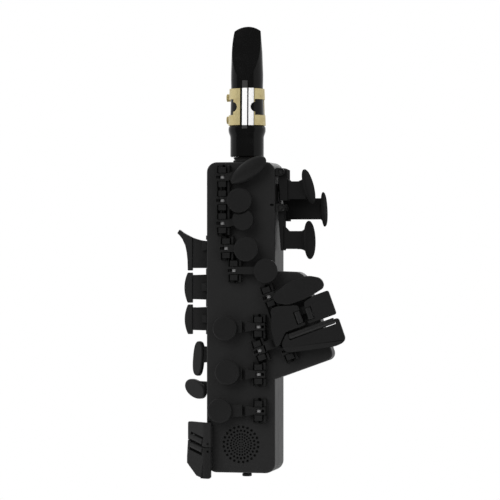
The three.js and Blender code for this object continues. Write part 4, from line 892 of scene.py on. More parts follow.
def right_key(node):
    """A lever that widens from the rod, drops a step and runs under its touch on the left."""
    x, y, radius = RIGHT_KEYS[node]
    half, start = HUB["half"], 1 * MM - HUB["front"]
    near, far, wide = -STEP["near"], -STEP["far"], STEP["half"]
    bar_corners = [(near, -wide), (start, -half), (start, half), (near, wide)]
    bar = slab("bar", bar_corners, LEVER["low"], LEVER["top"])
    strap_x, strap_y = (far - 1 * MM, near + 1 * MM), (-wide + 1 * MM, wide - 1 * MM)
    strap = cuboid("strap", strap_x, strap_y, (BASE["top"] + 1 * MM, LEVER["top"] - STEP["drop"]))
    root, end = wide + 0.3 * MM, STEP["end"]
    arm_corners = [(x, y - end), (far, -root), (far, root), (x, y + end)]
    arm = slab("arm", arm_corners, LEVER["low"], LEVER["top"] - 0.4 * MM)
    body = soften(fuse(hub(-1), bar, strap, arm), LEVER_ROUND)
    foot = soften(post(x, y))
    cap = moved(soften(touch(radius)), x, y)
    key = joined(node.replace("_key", "_lever"), [body, foot, cap])
    place(key, at_pivot(node))
    fitted(key, node, "key_plastic", KEY_PLASTIC, node)


def left_stack():
    """The upper five front keys with their brackets, screws, shaft, pins and sleeves."""
    for node in LEFT_KEYS:
        left_key(node)
    channels = [place(bracket("channel"), at_pivot(node)) for node in LEFT_KEYS]
    stack = joined("left_stack_channel", channels)
    fitted(stack, "case", "key_plastic", KEY_PLASTIC, "left_stack_bracket")
    ends = [("front_f_key", 1), ("front_f_key", -1), ("b_key", -1), ("bis_key", -1)]
    ends += [("a_key", 1), ("a_key", -1), ("g_key", 1), ("g_key", -1)]
    bracket_screws("left_stack", [(at_pivot(node), end * SCREW_OUT) for node, end in ends])
    reach = LUG["far"]
    rise = PIVOTS["front_f_key"].z - PIVOTS["bis_key"].z
    black_shaft("left_stack_shaft", -reach, rise + reach, at_pivot("bis_key"), "case", "left_stack_rod")
    for node in PINNED:
        black_shaft(node.replace("key", "pin"), -reach, reach, at_pivot(node), node)
    for node in LEFT_KEYS:
        sleeve_with_painted_glint(node.replace("key", "sleeve"), at_pivot(node), node if node in PINNED else "case")


def right_stack():
    """The lower three front keys as above, and the bracket between them that carries the low B key."""
    for node in RIGHT_KEYS:
        right_key(node)
    places = [at_pivot("f_key"), at_leaning_pivot("low_b_key"), at_pivot("e_key")]
    channels = [place(bracket("channel"), matrix) for matrix in places]
    stack = joined("right_stack_channel", channels)
    fitted(stack, "case", "key_plastic", KEY_PLASTIC, "right_stack_bracket")
    low = place(bracket("d_key_channel"), at_pivot("d_key"))
    fitted(low, "case", "key_plastic", KEY_PLASTIC, "d_key_bracket")
    places.append(at_pivot("d_key"))
    bracket_screws("right_stack", [(matrix, end * SCREW_OUT) for matrix in places for end in (-1, 1)])
    reach = LUG["far"]
    for node in RIGHT_KEYS:
        name = node.replace("key", "shaft")
        black_shaft(name, -reach, reach, at_pivot(node), "case", f"{node}_rod")
        sleeve_with_painted_glint(node.replace("key", "sleeve"), at_pivot(node), "case")


# Left little finger's table, drawn about the G sharp pivot with local X along the table

PLATE = {"low": 7.4 * MM, "top": 9.8 * MM, "edge": 0.9 * MM}
ARM = {"low": 2.6 * MM, "top": 4.6 * MM, "half": 2.6 * MM, "riser": 5.2 * MM}
TABLE_PLATES = {
    "g_sharp_key": {
        "box": (3.4, 40.2, -10.4, 4.6),
        "corner": 6,
        "shares": [(0, 0.7), (0.36, 1), (0.76, 1), (1, 0.66), (1, 0.2), (0.6, 0), (0.22, 0), (0, 0.3)],
        "reach": 14,
        "v": 0,
    },
    "low_c_sharp_key": {
        "box": (20.6, 41.7, -27.5, -10),
        "corner": 1.5,
        "shares": [(0, 0), (1, 0), (1, 1), (0.5, 1), (0.1, 0.88)],
        "reach": 36.4,
        "v": -17,
    },
    "low_b_flat_key": {
        "box": (-1.6, 42, -48.3, -28.4),
        "corner": 3.5,
        "shares": [
            (0, 0.42), (0.1, 0.32), (0.79, 0), (0.93, 0.02),
            (0.995, 0.13), (1, 0.9), (0.125, 1), (0, 0.73),
        ],
        "reach": 24.4,
        "v": -39.3,
    },
}
LOW_B = {"u": -19, "v": -33.1, "neck_low": -35, "neck_high": -28.4, "neck_end": -4, "bottom": 4.7}
B_PLATE = {
    "box": (-6.6, 18.6, -34.6, -8.4),
    "corner": 1.2,
    "shares": [(0.24, 1), (0.04, 0.46), (0, 0), (0.12, 0), (0.4, 0.27), (1, 0.27), (0.97, 0.84), (0.44, 1)],
}
ROLLER = {"radius": 2.1 * MM, "gap": 0.4 * MM, "height": 8.6 * MM}
ROLLERS = {
    "c_sharp_roller": ("low_c_sharp_key", (23.9, 23.9), (-24.9, -16.7), (-1, 0)),
    "b_roller": ("low_b_key", (15.7, 15.7), (-25, -16.6), (1, 0)),
    "b_flat_roller": ("low_b_flat_key", (4.9, 38.6), (-31.2, -31.2), (0, 1)),
}


def table_plate(spec):
    left, right, bottom, top = (side * MM for side in spec["box"])
    corners = [(left + (right - left) * a, bottom + (top - bottom) * b) for a, b in spec["shares"]]
    return slab("plate", corners[::-1], PLATE["low"], PLATE["top"], spec["corner"] * MM, PLATE["edge"])


def roller_slot(u, v, open_side):
    """The room for a roller, open on the side where the next plate is."""
    (u0, u1), (v0, v1) = (sorted(value * MM for value in pair) for pair in (u, v))
    room, gap, wide = ROLLER["radius"] + ROLLER["gap"], ROLLER["gap"], 8 * MM
    along_v = u0 == u1
    x = [u0 - room, u1 + room] if along_v else [u0 - gap, u1 + gap]
    y = [v0 - gap, v1 + gap] if along_v else [v0 - room, v1 + room]
    for side, span in zip(open_side, (x, y)):
        if side:
            span[side > 0] += side * wide
    return cuboid("slot", x, y, (0, 2 * PLATE["top"]))


def table_arm(spec):
    """The lever under the table from the table's rod to a riser below the plate."""
    v, reach, half = spec["v"] * MM, spec["reach"] * MM, ARM["half"]
    across, into_plate = (v - half, v + half), PLATE["low"] + 0.5 * MM
    flat = cuboid("arm", (HUB["front"] - 1 * MM, reach), across, (ARM["low"], ARM["top"]))
    riser = cuboid("riser", (reach - ARM["riser"], reach), across, (ARM["low"], into_plate))
    return fuse(flat, riser)


LOWER_CHAMFER = {"width": 3.6 * MM, "slope": math.radians(11)}


def chamfer_lower_edge(plate, spec):
    """Slopes the B flat plate's long lower edge, from a crease down to its rim."""
    left, right, bottom, top = (side * MM for side in spec["box"])
    (a0, b0), (a1, b1) = spec["shares"][1:3]
    start = Vector((left + (right - left) * a0, bottom + (top - bottom) * b0, PLATE["top"]))
    end = Vector((left + (right - left) * a1, bottom + (top - bottom) * b1, PLATE["top"]))
    across = (end - start).cross(Vector((0, 0, 1))).normalized()
    slope = LOWER_CHAMFER["slope"]
    outwards = across * math.sin(slope) + Vector((0, 0, math.cos(slope)))
    return sliced(plate, start - across * LOWER_CHAMFER["width"], outwards)


def table_keys():
    """The three keys on the table's rod, each a plate with room for its rollers on a lever."""
    for node, spec in TABLE_PLATES.items():
        plate = table_plate(spec)
        for owner, u, v, side in ROLLERS.values():
            if owner == node:
                cut(plate, roller_slot(u, v, side))
        soften(plate, PLATE_ROUND)
        if node == "low_b_flat_key":
            soften(chamfer_lower_edge(plate, spec), angle=8)
        lever = fuse(moved(hub(1), 0, spec["v"] * MM), table_arm(spec))
        key = joined(node.replace("_key", "_plate"), [plate, soften(lever, LEVER_ROUND)])
        place(key, on_table())
        fitted(key, node, "key_plastic", KEY_PLASTIC, node)


def low_b_key():
    """The low B key crosses over the table's rod to its own pivot beside the right-hand stack."""
    u, v, low, high = (LOW_B[word] * MM for word in ("u", "v", "neck_low", "neck_high"))
    end, bottom = LOW_B["neck_end"] * MM, LOW_B["bottom"] * MM
    half, start = HUB["half"], u + HUB["front"]
    corners = [(start - 1 * MM, v - half), (start, low), (end, low), (end, high), (start, high)]
    corners.append((start - 1 * MM, v + half))
    neck = slab("neck", corners, bottom, LEVER["top"])
    slot_x, slot_y = (end - 4.2 * MM, end - 0.8 * MM), (low + 0.5 * MM, high - 0.5 * MM)
    cut(neck, cuboid("slot", slot_x, slot_y, (LEVER["top"] - 1.6 * MM, PLATE["top"])))
    left, plate_low = B_PLATE["box"][0] * MM + 0.3 * MM, B_PLATE["box"][2] * MM + 0.3 * MM
    riser = cuboid("riser", (left, end), (plate_low, high), (bottom, PLATE["low"] + 0.5 * MM))
    plate = table_plate(B_PLATE)
    _, slot_u, slot_v, side = ROLLERS["b_roller"]
    cut(plate, roller_slot(slot_u, slot_v, side))
    lever = fuse(moved(hub(1), u, v), neck, riser)
    key = joined("low_b_plate", [soften(plate, PLATE_ROUND), soften(lever, LEVER_ROUND)])
    place(key, on_table())
    fitted(key, "low_b_key", "key_plastic", KEY_PLASTIC, "low_b_key")
    reach, pivot = LUG["far"], at_leaning_pivot("low_b_key")
    black_shaft("low_b_shaft", -reach, reach, pivot, "case", "low_b_rod")
    sleeve_with_painted_glint("low_b_sleeve", pivot, "case")


def roller_body(name, length):
    """A roller with rounded ends and a pin at each, along local Z about its middle."""
    radius, pin, half = ROLLER["radius"], 0.7 * MM, length / 2
    rings = [(pin, -half - 1.2 * MM), (pin, -half)]
    rings += [(r, h - half) for r, h in arc_rings(radius, 0, 0.5 * MM, way=-1)]
    rings += [(r, h + half) for r, h in arc_rings(radius, 0, 0.5 * MM)]
    rings += [(pin, half), (pin, half + 1.2 * MM)]
    return soften(turned(name, rings, sides=40))


def table_rollers():
    for node, (_, u, v, _) in ROLLERS.items():
        along_v = u[0] == u[1]
        length = (v[1] - v[0] if along_v else u[1] - u[0]) * MM
        piece = roller_body(node.replace("roller", "roll"), length)
        turn = Matrix.Rotation(math.radians(90), 4, "X" if along_v else "Y")
        middle = Matrix.Translation((sum(u) / 2 * MM, sum(v) / 2 * MM, ROLLER["height"]))
        place(piece, on_table() @ middle @ turn)
        fitted(piece, node, "key_plastic", ROLLER_PLASTIC_PAINTED_HIGHLIGHT, node)


def table_channel():
    """The table's brackets with their screws, and the shaft and the sleeve that they carry."""
    heights = [spec["v"] * MM for spec in TABLE_PLATES.values()]
    channels = [moved(bracket("channel"), 0, v) for v in heights]
    channel = place(joined("table_channel", channels), on_table())
    fitted(channel, "case", "key_plastic", KEY_PLASTIC, "table_bracket")
    ends = [v + SCREW_OUT for v in heights] + [heights[-1] - SCREW_OUT]
    bracket_screws("table", [(on_table(), v) for v in ends])
    low, high = min(heights) - LUG["far"], max(heights) + LUG["far"]
    black_shaft("table_shaft", low, high, on_table(), "case", "table_rod")
    sleeve_with_painted_glint("table_sleeve", on_table(), "case")


# Palm keys on the right side, drawn about their own pin with local X away from the case

PALM = {"half": 5 * MM, "tip": 2.2 * MM, "lug": 3 * MM, "gap": 0.3 * MM}
PALM_KEYS = {
    "palm_d_key": {
        "bar": 20,
        "out": 4.2,
        "stem": (6.6, 19, 1.5),
        "touch": (17.2, -10.5, 25, 15, 14, 3.4),
        "turn": 15,
    },
    "palm_e_flat_key": {
        "bar": 24,
        "out": 2.0,
        "stem": (7.8, 22.7, 1.5),
        "touch": (25.5, -15.7, 24.5, 11, 3, 4.6),
        "turn": 6,
    },
    "palm_f_key": {
        "bar": 30,
        "out": 1.3,
        "stem": (16.4, 29, 3),
        "touch": (17.9, -22.7, 27, 17, 2, 7),
        "turn": 15,
    },
}
STEM_DEPTH = 4 * MM
SPOOL = {"root_share": 0.46, "flare_share": 0.93, "steps": 8}


def spool_touch(long, deep, flare):
    """An oval touch whose neck flares out to it like a spool, drawn about the middle of its back."""
    half_long, half_deep = long / 2, deep / 2
    root, wide, steps = SPOOL["root_share"], SPOOL["flare_share"], SPOOL["steps"]
    rings = [(root, -flare - 1 * MM)]
    for i in range(steps + 1):
        turn = math.pi / 2 * i / steps
        share = root + (wide - root) * (1 - math.cos(turn))
        rings.append((share, -flare + (flare + 0.5 * MM) * math.sin(turn)))
    rings += [(0.985, 0.75 * MM), (1.0, 1.2 * MM), (0.985, 1.75 * MM), (0.94, 2.2 * MM), (0.86, 2.5 * MM)]
    rings += [(0.6, 2.62 * MM), (0.15, 2.68 * MM)]
    piece = turned("spool", rings, sides=72)
    return soften(place(piece, Matrix.Diagonal((half_deep, half_long, 1, 1))), angle=40)


def palm_key(node):
    """A blade down from its pin, a stem out from it and a spool-shaped touch at the stem's end."""
    spec = PALM_KEYS[node]
    half, out, bar = PALM["half"], spec["out"] * MM, spec["bar"] * MM
    high, low, gusset = (value * MM for value in spec["stem"])
    x, z, long, deep, lean, flare = spec["touch"]
    barrel = rod("barrel", BARREL, (0, 0, -half), (0, 0, half))
    blade_corners = [(-BARREL, 0), (-0.5 * MM, -bar), (out, -bar), (out, 0.5 * BARREL)]
    blade_corners.append((0.35 * out, 0.97 * BARREL))
    blade = slab("blade", blade_corners, -half, half)
    stem_corners = [(0, -low), (x * MM, -low), (x * MM, -high), (out + gusset, -high), (out, gusset - high)]
    stem_corners.append((0, gusset - high))
    stem = slab("stem", stem_corners, -STEM_DEPTH, STEM_DEPTH)
    body = soften(fuse(barrel, blade, stem), 0.5 * MM, steps=3)
    spool = spool_touch(long * MM, deep * MM, flare * MM)
    outwards = Matrix.Rotation(math.radians(90 - spec["turn"]), 4, "Y")
    spool_place = Matrix.Translation((x * MM, z * MM, 0)) @ Matrix.Rotation(math.radians(lean), 4, "Z")
    place(spool, spool_place @ outwards)
    key = joined(node.replace("_key", "_lever"), [body, spool])
    place(key, Matrix.Translation(PIVOTS[node]) @ FACING_FRONT)
    fitted(key, node, "key_plastic", PALM_PLASTIC_PAINTED_SHADE, node)


def palm_keys():
    """The three palm keys with their bracket, the middle key's shaft and the other two keys' pins."""
    for node in PALM_KEYS:
        palm_key(node)
    piece = soften(merged_copy("palm_bracket", "palm_channel"), LEVER_ROUND)
    fitted(piece, "case", "key_plastic", KEY_PLASTIC, "palm_bracket")
    low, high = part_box("palm_rod")
    x, z = PIVOTS["palm_e_flat_key"].x, PIVOTS["palm_e_flat_key"].z
    shaft = rod("palm_shaft", ROD, (x, low.y, z), (x, high.y, z), ROD_ROUND)
    fitted(soften(shaft), "case", "steel", DULL_BLACK, "palm_rod")
    for node in ("palm_d_key", "palm_f_key"):
        pivot = PIVOTS[node]
        reach = Vector((0, PALM["half"] + PALM["gap"] + PALM["lug"], 0))
        pin = rod(node.replace("key", "pin"), ROD, pivot - reach, pivot + reach, ROD_ROUND)
        fitted(soften(pin), node, "steel", DULL_BLACK)


# Side keys, drawn from the front with local X outwards from their rod and local Y up from the case's foot

SIDE_ROD = (-28 * MM, MIDDLE_DEPTH + 6 * MM)
SIDE = {
    "thick": 2.4 * MM,
    "front": 16 * MM,
    "rim": 12.6 * MM,
    "back": 3 * MM,
    "web": 15 * MM,
    "inner": 8.6 * MM,
    "turn": math.radians(17),
}
SIDE_KEYS = {
    "side_b_flat_key": {"web": (99.7, 115.6), "touch": (96.8, 117.8), "out": 11.8, "crown": 2.4},
    "side_c_key": {"web": (121.5, 138.6), "touch": (119, 140.3), "out": 12, "crown": 2.4},
    "side_e_key": {"web": (143.5, 162.8), "touch": (141.8, 160), "out": 12, "crown": 0},
}
HORN = {
    "left": [(12, 142.7), (12.15, 149), (12.7, 154.4), (13.75, 159.4), (15.85, 164), (17.9, 166.6)],
    "tip": [(19.6, 168.2), (18, 170.8)],
    "top": [(14.6, 168.3), (10.3, 166), (8.6, 165.3)],
    "root": [(8.4, 165.2), (5.6, 164.2), (2.2, 163.2), (-1.2, 162.7)],
}
BOSS = {"inner": -1.6 * MM, "outer": 2.2 * MM, "half": 2.8 * MM, "top": 14.2 * MM}


def bowed_outline(low, high, inner, out, crown):
    """A touch seen from the front, with its outward side bowed."""
    steps = 14
    corners = [(inner, low), (out, low)]
    for i in range(1, steps):
        share = i / steps
        corners.append((out + crown * (1 - (2 * share - 1) ** 2), low + (high - low) * share))
    return [*corners, (out, high), (inner, high)]


def side_outlines(node):
    """The outlines of a side key's rim, its web and the part behind its rim."""
    spec = SIDE_KEYS[node]
    low, high = (height * MM for height in spec["web"])
    touch_low, touch_high = (height * MM for height in spec["touch"])
    inner, out, crown = SIDE["inner"], spec["out"] * MM, spec["crown"] * MM
    root = -SIDE["thick"]
    if node == "side_e_key":
        left, tip, top, horn_root = (in_mm(HORN[part]) for part in ("left", "tip", "top", "root"))
        rim = [(inner, touch_low), (out, touch_low), *left, *tip, *top]
        web = [(root, low), (inner, low), *horn_root, (root, horn_root[-1][1])]
        return rim, web, bowed_outline(low, touch_high, inner, out, 0)
    rim = bowed_outline(touch_low, touch_high, inner, out, crown)
    web = [(root, low - 0.4 * MM), (inner, low), (inner, high), (root, high + 0.4 * MM)]
    return rim, web, bowed_outline(low, high, inner, out, 0.8 * crown)


def side_key(node):
    """A broad web on a long barrel, with a deep rim along its outward side as the touch."""
    low, high = (height * MM for height in SIDE_KEYS[node]["web"])
    rim_outline, web_outline, back_outline = side_outlines(node)
    inner, half = SIDE["inner"], SIDE["thick"] / 2
    web_back = SIDE["web"] - SIDE["thick"]
    barrel = rod("barrel", THIN_BARREL, (0, low, 0), (0, high, 0))
    boss_middle = high - 4 * MM if node == "side_e_key" else (low + high) / 2
    boss_height = (boss_middle - BOSS["half"], boss_middle + BOSS["half"])
    web = soften(slab("web", web_outline, -SIDE["thick"], 0), 0.3 * MM, angle=50)
    sunk = Matrix.Translation((inner, 0, SIDE["web"])) @ Matrix.Rotation(-SIDE["turn"], 4, "Y")
    place(web, sunk @ Matrix.Translation((-inner, 0, 0)))
    boss = cuboid("boss", (BOSS["inner"], BOSS["outer"]), boss_height, (web_back - 2 * MM, BOSS["top"]))
    arms_height = (low + half, high - half)
    parts = [
        web,
        soften(slab("rim", rim_outline, SIDE["rim"], SIDE["front"]), 0.45 * MM, steps=3, angle=50),
        soften(slab("back", back_outline, SIDE["back"], SIDE["rim"] + 0.5 * MM), 0.4 * MM, angle=50),
        soften(boss, 0.4 * MM),
        soften(cuboid("arms", (-half, half), arms_height, (0, web_back - 2.5 * MM)), 0.3 * MM),
        soften(barrel, 0.3 * MM),
    ]
    key = joined(node.replace("key", "lever"), parts)
    mirror = Matrix.Diagonal((-1, 1, 1, 1))
    place(key, Matrix.Translation((SIDE_ROD[0], SIDE_ROD[1], FOOT)) @ FACING_FRONT @ mirror)
    bpy.ops.object.mode_set(mode="EDIT")
    face_outwards()
    fitted(soften(key), node, "key_plastic", SIDE_PLASTIC_PAINTED_LIGHT, node)


# Push keys on the left, each touch drawn lying flat about its own middle

PUSH_TURN = math.radians(42)
PUSH = {"thick": 2.6 * MM, "edge": 1.1 * MM, "boot_half": 2.7 * MM, "reach": 4 * MM}
PUSH_KEYS = {
    "high_f_sharp_key": {
        "out": 11.2,
        "lift": -4.9,
        "half": (5.7, 12.4),
        "lean": -8,
        "power": 2.6,
        "boot": (-7.2, 3.4, 6.2),
    },
    "alt_f_sharp_key": {
        "out": 13.3,
        "lift": -0.7,
        "half": (12.4, 6.4),
        "lean": -13,
        "power": 2.1,
        "boot": (-4, 4.4, 4.9),
    },
}


def push_key(node):
    """A touch turned to the left front on a broad root that slides into the side of the case."""
    spec = PUSH_KEYS[node]
    wide, tall = (value * MM for value in spec["half"])
    lift, out = spec["lift"] * MM, spec["out"] * MM
    outline = oval(wide, tall, spec["power"], math.radians(spec["lean"]))
    cap = slab("cap", outline, -PUSH["thick"], 0, edge=PUSH["edge"], steps=5)
    height = FOOT + PUSH_HEIGHTS[node]
    middle = Matrix.Translation((-HALF_WIDTH - out, PUSH_Y, height + lift))
    face = middle @ Matrix.Rotation(-PUSH_TURN, 4, "Z")
    place(cap, face @ FACING_FRONT)
    low, high, flare = (value * MM for value in spec["boot"])
    root, tip, centre = -HALF_WIDTH + PUSH["reach"], -HALF_WIDTH - out, (low + high) / 2
    corners = [(root, low), (root, high), (-HALF_WIDTH, high), (tip, centre + flare)]
    corners += [(tip, centre - flare), (-HALF_WIDTH, low)]
    boot = slab("boot", corners, -PUSH["boot_half"], PUSH["boot_half"])
    place(boot, Matrix.Translation((0, PUSH_Y, height)) @ FACING_FRONT)
    facing = face.to_3x3() @ Vector((0, -1, 0))
    sliced(boot, face.translation - facing * (0.5 * PUSH["thick"]), facing)
    key = joined(node.replace("key", "push"), [soften(cap, angle=40), soften(boot, 0.6 * MM, steps=3)])
    fitted(key, node, "key_plastic", KEY_PLASTIC, node)


# Right little finger's keys, drawn from above about the corner between their strip and their face

PINKY_TURN = math.radians(39)
PINKY = {"x": -24.1 * MM, "height": 7.4 * MM, "strip": 4.3 * MM, "face": 19.2 * MM}
PINKY_PLATE = {"thick": 2.4 * MM, "round": 3 * MM}
PINKY_Z = {"top": 35.4 * MM, "bottom": -3.9 * MM, "left": 22.6 * MM, "right": 17.9 * MM, "gap": 0.5 * MM}
PINKY_SLOPE = math.atan2(PINKY_Z["left"] - PINKY_Z["right"], PINKY["face"])
PINKY_WIDE = 40 * MM
PINKY_ROD = {"x": 2.3 * MM, "y": 4.4 * MM}
PINKY_ROLLER = {"length": 13.6 * MM, "from": 2.8 * MM, "offset": 2.9 * MM, "floor": 3.7 * MM}
ROLLER_BOX = {"wall": 0.6 * MM, "floor": 0.5 * MM, "left": 0.4 * MM, "right": 2.6 * MM}
# The upper plate gets the lighter side plastic and the lower plate the darker key plastic: painted light and
# painted shade on two like plates.
PINKY_KEYS = {
    "e_flat_key": {
        "way": 1,
        "longer": 0.0,
        "barrel": (18.1 * MM, 33 * MM),
        "outer_gap": 1.5 * MM,
        "adjuster": 20.4 * MM,
        "finish": SIDE_PLASTIC_PAINTED_LIGHT,
    },
    "low_c_key": {
        "way": -1,
        "longer": 1.2 * MM,
        "barrel": (4 * MM, 14.5 * MM),
        "outer_gap": 1.6 * MM,
        "adjuster": 15.1 * MM,
        "finish": KEY_PLASTIC,
    },
}
PINKY_STOP = {"x": (-15.4 * MM, 1.5 * MM), "y": (16.3 * MM, 18.3 * MM), "z": (11.5 * MM, 27.5 * MM)}
ADJUSTER = {"x": 2.2 * MM, "radius": 0.85 * MM, "depth": 1.6 * MM}


def at_pinky():
    return Matrix.Translation((PINKY["x"], FRONT - PINKY["height"], FOOT))


def on_pinky_face():
    return at_pinky() @ Matrix.Rotation(-PINKY_TURN, 4, "Z") @ FACING_FRONT


def bent_profile(face):
    """The section through strip and face, with a soft fold between them."""
    c, s = math.cos(PINKY_TURN), math.sin(PINKY_TURN)
    thick, fold, strip = PINKY_PLATE["thick"], PINKY_PLATE["round"], PINKY["strip"]
    outer, steps = [(strip, 0)], 6
    for i in range(steps + 1):
        t = i / steps
        outer.append((fold * (1 - t) ** 2 - c * fold * t * t, s * fold * t * t))
    outer.append((-face * c, face * s))
    inner_corner = thick * math.tan(PINKY_TURN / 2)
    return [*outer, (-face * c + thick * s, face * s + thick * c), (inner_corner, thick), (strip, thick)]


def corner_tool(x, y, radius):
    """Takes off a plate's lower right corner and leaves it round."""
    curve = arc((x - radius, y + radius), radius, -90, 0, steps=6)
    corners = [(x - radius, y - DEEP), (x + DEEP, y - DEEP), (x + DEEP, y + radius), *curve[::-1]]
    return slab("tool", corners, -DEEP, DEEP)


def add_roller_room(plate, spec):
    """Fuses a box behind the face round a roller's place, and cuts the slot that the roller lies in."""
    way, thick = spec["way"], PINKY_PLATE["thick"]
    half, room = PINKY_ROLLER["length"] / 2, ROLLER["radius"] + ROLLER["gap"]
    middle_x = -PINKY_ROLLER["from"] - half
    middle_z = PINKY_Z["right"] - math.tan(PINKY_SLOPE) * middle_x + way * PINKY_ROLLER["offset"]
    middle = Matrix.Translation((middle_x, middle_z, -thick / 2))
    roller_place = on_pinky_face() @ middle @ Matrix.Rotation(-PINKY_SLOPE, 4, "Z")
    back, outer = thick / 2 - PINKY_ROLLER["floor"], ROLLER["radius"] + spec["outer_gap"]
    box_x = (-half - ROLLER_BOX["left"], half - ROLLER_BOX["right"])
    box_y = sorted((way * (outer + ROLLER_BOX["wall"]), -way * room))
    box = cuboid("box", box_x, box_y, (back - ROLLER_BOX["floor"], 0))
    fuse(plate, place(box, roller_place))
    slot_y = sorted((-way * 3 * room, way * outer))
    slot = cuboid("slot", (-half - ROLLER["gap"], half + ROLLER["gap"]), slot_y, (back, PINKY_WIDE))
    cut(plate, place(slot, roller_place))


def divide_plates(plate, way):
    """Cuts away what lies beyond the gap between the two plates, on the face and on the strip."""
    wide = PINKY_WIDE
    other_side = sorted((-way * wide, way * PINKY_Z["gap"] / 2))
    division = cuboid("division", (-wide, 0.4 * MM), other_side, (-wide, wide))
    corner = Matrix.Translation((0, PINKY_Z["right"], 0)) @ Matrix.Rotation(-PINKY_SLOPE, 4, "Z")
    cut(plate, place(division, on_pinky_face() @ corner))
    level = cuboid("level", (-1 * MM, wide), (-wide, wide), other_side)
    cut(plate, place(level, at_pinky() @ Matrix.Translation((0, 0, PINKY_Z["right"]))))


def shape_ends(plate, way):
    """Rounds the upper plate's outer corner, or sweeps the lower plate's face and rounds its strip."""
    far, wide = PINKY["face"], PINKY_WIDE
    low, high = PINKY_Z["bottom"], PINKY_Z["top"]
    if way > 0:
        mirror = Matrix.Rotation(math.pi, 4, "Z")
        cut(plate, place(corner_tool(far, -high, 1.5 * MM), on_pinky_face() @ mirror))
    else:
        bulge = far + 1.1 * MM
        sweep = [(-far / 2, low + 1.6 * MM), (-bulge, low + 10 * MM), (-bulge, low + 14.5 * MM)]
        sweep += [(-far, low + 27 * MM), (-wide, low + 27 * MM), (-wide, low - wide)]
        sweep += [(1 * MM, low - wide), (-1.5 * MM, low)]
        cut(plate, place(slab("corner", sweep[::-1], -wide, wide), on_pinky_face()))
        cut(plate, place(corner_tool(PINKY["strip"], low, 1.7 * MM), at_pinky() @ FACING_FRONT))


def pinky_key(node):
    """A plate bent between its strip and its face, with room for a roller and a barrel behind it."""
    spec = PINKY_KEYS[node]
    profile = bent_profile(PINKY["face"] + spec["longer"])
    plate = place(slab("plate", profile, PINKY_Z["bottom"], PINKY_Z["top"]), at_pinky())
    add_roller_room(plate, spec)
    divide_plates(plate, spec["way"])
    shape_ends(plate, spec["way"])
    x, z = ADJUSTER["x"], spec["adjuster"]
    hole = rod("hole", ADJUSTER["radius"], (x, -PINKY_WIDE, z), (x, ADJUSTER["depth"], z), sides=24)
    cut(plate, place(hole, at_pinky()))
    soften(plate, 0.35 * MM, steps=3)
    x, y = PINKY_ROD["x"], PINKY_ROD["y"]
    start, end = spec["barrel"]
    barrel = rod("barrel", THIN_BARREL, (x, y, start), (x, y, end))
    sides = (x - THIN_BARREL / 2, x + THIN_BARREL / 2)
    web = cuboid("web", sides, (PINKY_PLATE["thick"] / 2, y), (start, end))
    carrier = place(soften(fuse(barrel, web)), at_pinky())
    key = joined(node.replace("key", "plate"), [plate, carrier])
    fitted(key, node, "key_plastic", spec["finish"], node)


def left_side_keys():
    """The side keys, the push keys and the right little finger's keys with their stop."""
    for node in SIDE_KEYS:
        side_key(node)
    for node in PUSH_KEYS:
        push_key(node)
    for node in PINKY_KEYS:
        pinky_key(node)
    stop = cuboid("little_finger_stop", PINKY_STOP["x"], PINKY_STOP["y"], PINKY_STOP["z"])
    place(stop, at_pinky())
    fitted(soften(stop, 0.5 * MM, steps=3), "case", "side_plastic", SIDE_PLASTIC_PAINTED_LIGHT)


# Back of the case, drawn from behind with local X to the left of the instrument and local Z away from it

FOOT_PLATE = {"low": 0.3 * MM, "top": 2.3 * MM, "edge": 0.5 * MM}
OCTAVE = {"z": 168 * MM, "height": 5 * MM, "half": 6 * MM, "lug": 2.6 * MM}
OCTAVE_TOUCH = {"wide": 6.5 * MM, "tall": 9 * MM, "power": 2.5, "middle": 15 * MM}
OCTAVE_FOOT = {"half": 10.6 * MM, "low": -14 * MM, "high": 8 * MM, "corner": 2.6 * MM}
HOOK = {"z": 62 * MM, "half": 6.5 * MM, "end": 20.3 * MM, "top": 9 * MM, "thick": 3.2 * MM, "drop": 12 * MM}
HOOK_BEND = 6.5 * MM
HOOK_FILLET = 3 * MM
EYE = {"z": 126 * MM, "out": 8.9 * MM, "outer": 7.6 * MM, "hole": 4.6 * MM, "half": 1.5 * MM}
FOOT_SCREW = {"radius": 1.3 * MM, "rise": 0.8 * MM}


def on_back(z, x=0.0, height=0.0):
    return Matrix.Translation((0, BACK, FOOT + z)) @ FACING_BACK @ Matrix.Translation((x, 0, height))


def foot_plate(half, low, high, corner):
    outline = [(-half, low), (half, low), (half, high), (-half, high)]
    return slab("foot", outline, FOOT_PLATE["low"], FOOT_PLATE["top"], corner, FOOT_PLATE["edge"])


def foot_screws(name, z, places):
    for number, (x, y) in enumerate(places, 1):
        screw = socket_screw(f"{name}_screw_{number}", FOOT_SCREW["radius"], FOOT_SCREW["rise"])
        place(screw, on_back(z + y, x, FOOT_PLATE["top"]))
        fitted(screw, "case", "steel", SCREW_BLACK)


def octave_lever():
    """A rounded touch on a bar above its hinge."""
    half, height, middle = OCTAVE["half"], OCTAVE["height"], OCTAVE_TOUCH["middle"]
    touch_oval = oval(OCTAVE_TOUCH["wide"], OCTAVE_TOUCH["tall"], OCTAVE_TOUCH["power"], 0.0)
    outline = [(x, y + middle) for x, y in touch_oval]
    top = height + THIN_BARREL
    touch_plate = slab("touch", outline, height - 0.2 * MM, top, edge=1 * MM, steps=5)
    root, tip = half - 1 * MM, 4 * MM
    bar_corners = [(-root, 0), (root, 0), (tip, middle), (-tip, middle)]
    bar = slab("bar", bar_corners, height, top - 0.8 * MM)
    barrel = rod("barrel", THIN_BARREL, (-half, 0, height), (half, 0, height))
    hinge = soften(fuse(barrel, bar), 0.3 * MM)
    key = place(joined("octave_lever", [soften(touch_plate), hinge]), on_back(OCTAVE["z"]))
    fitted(key, "octave_key", "key_plastic", KEY_PLASTIC, "octave_key")


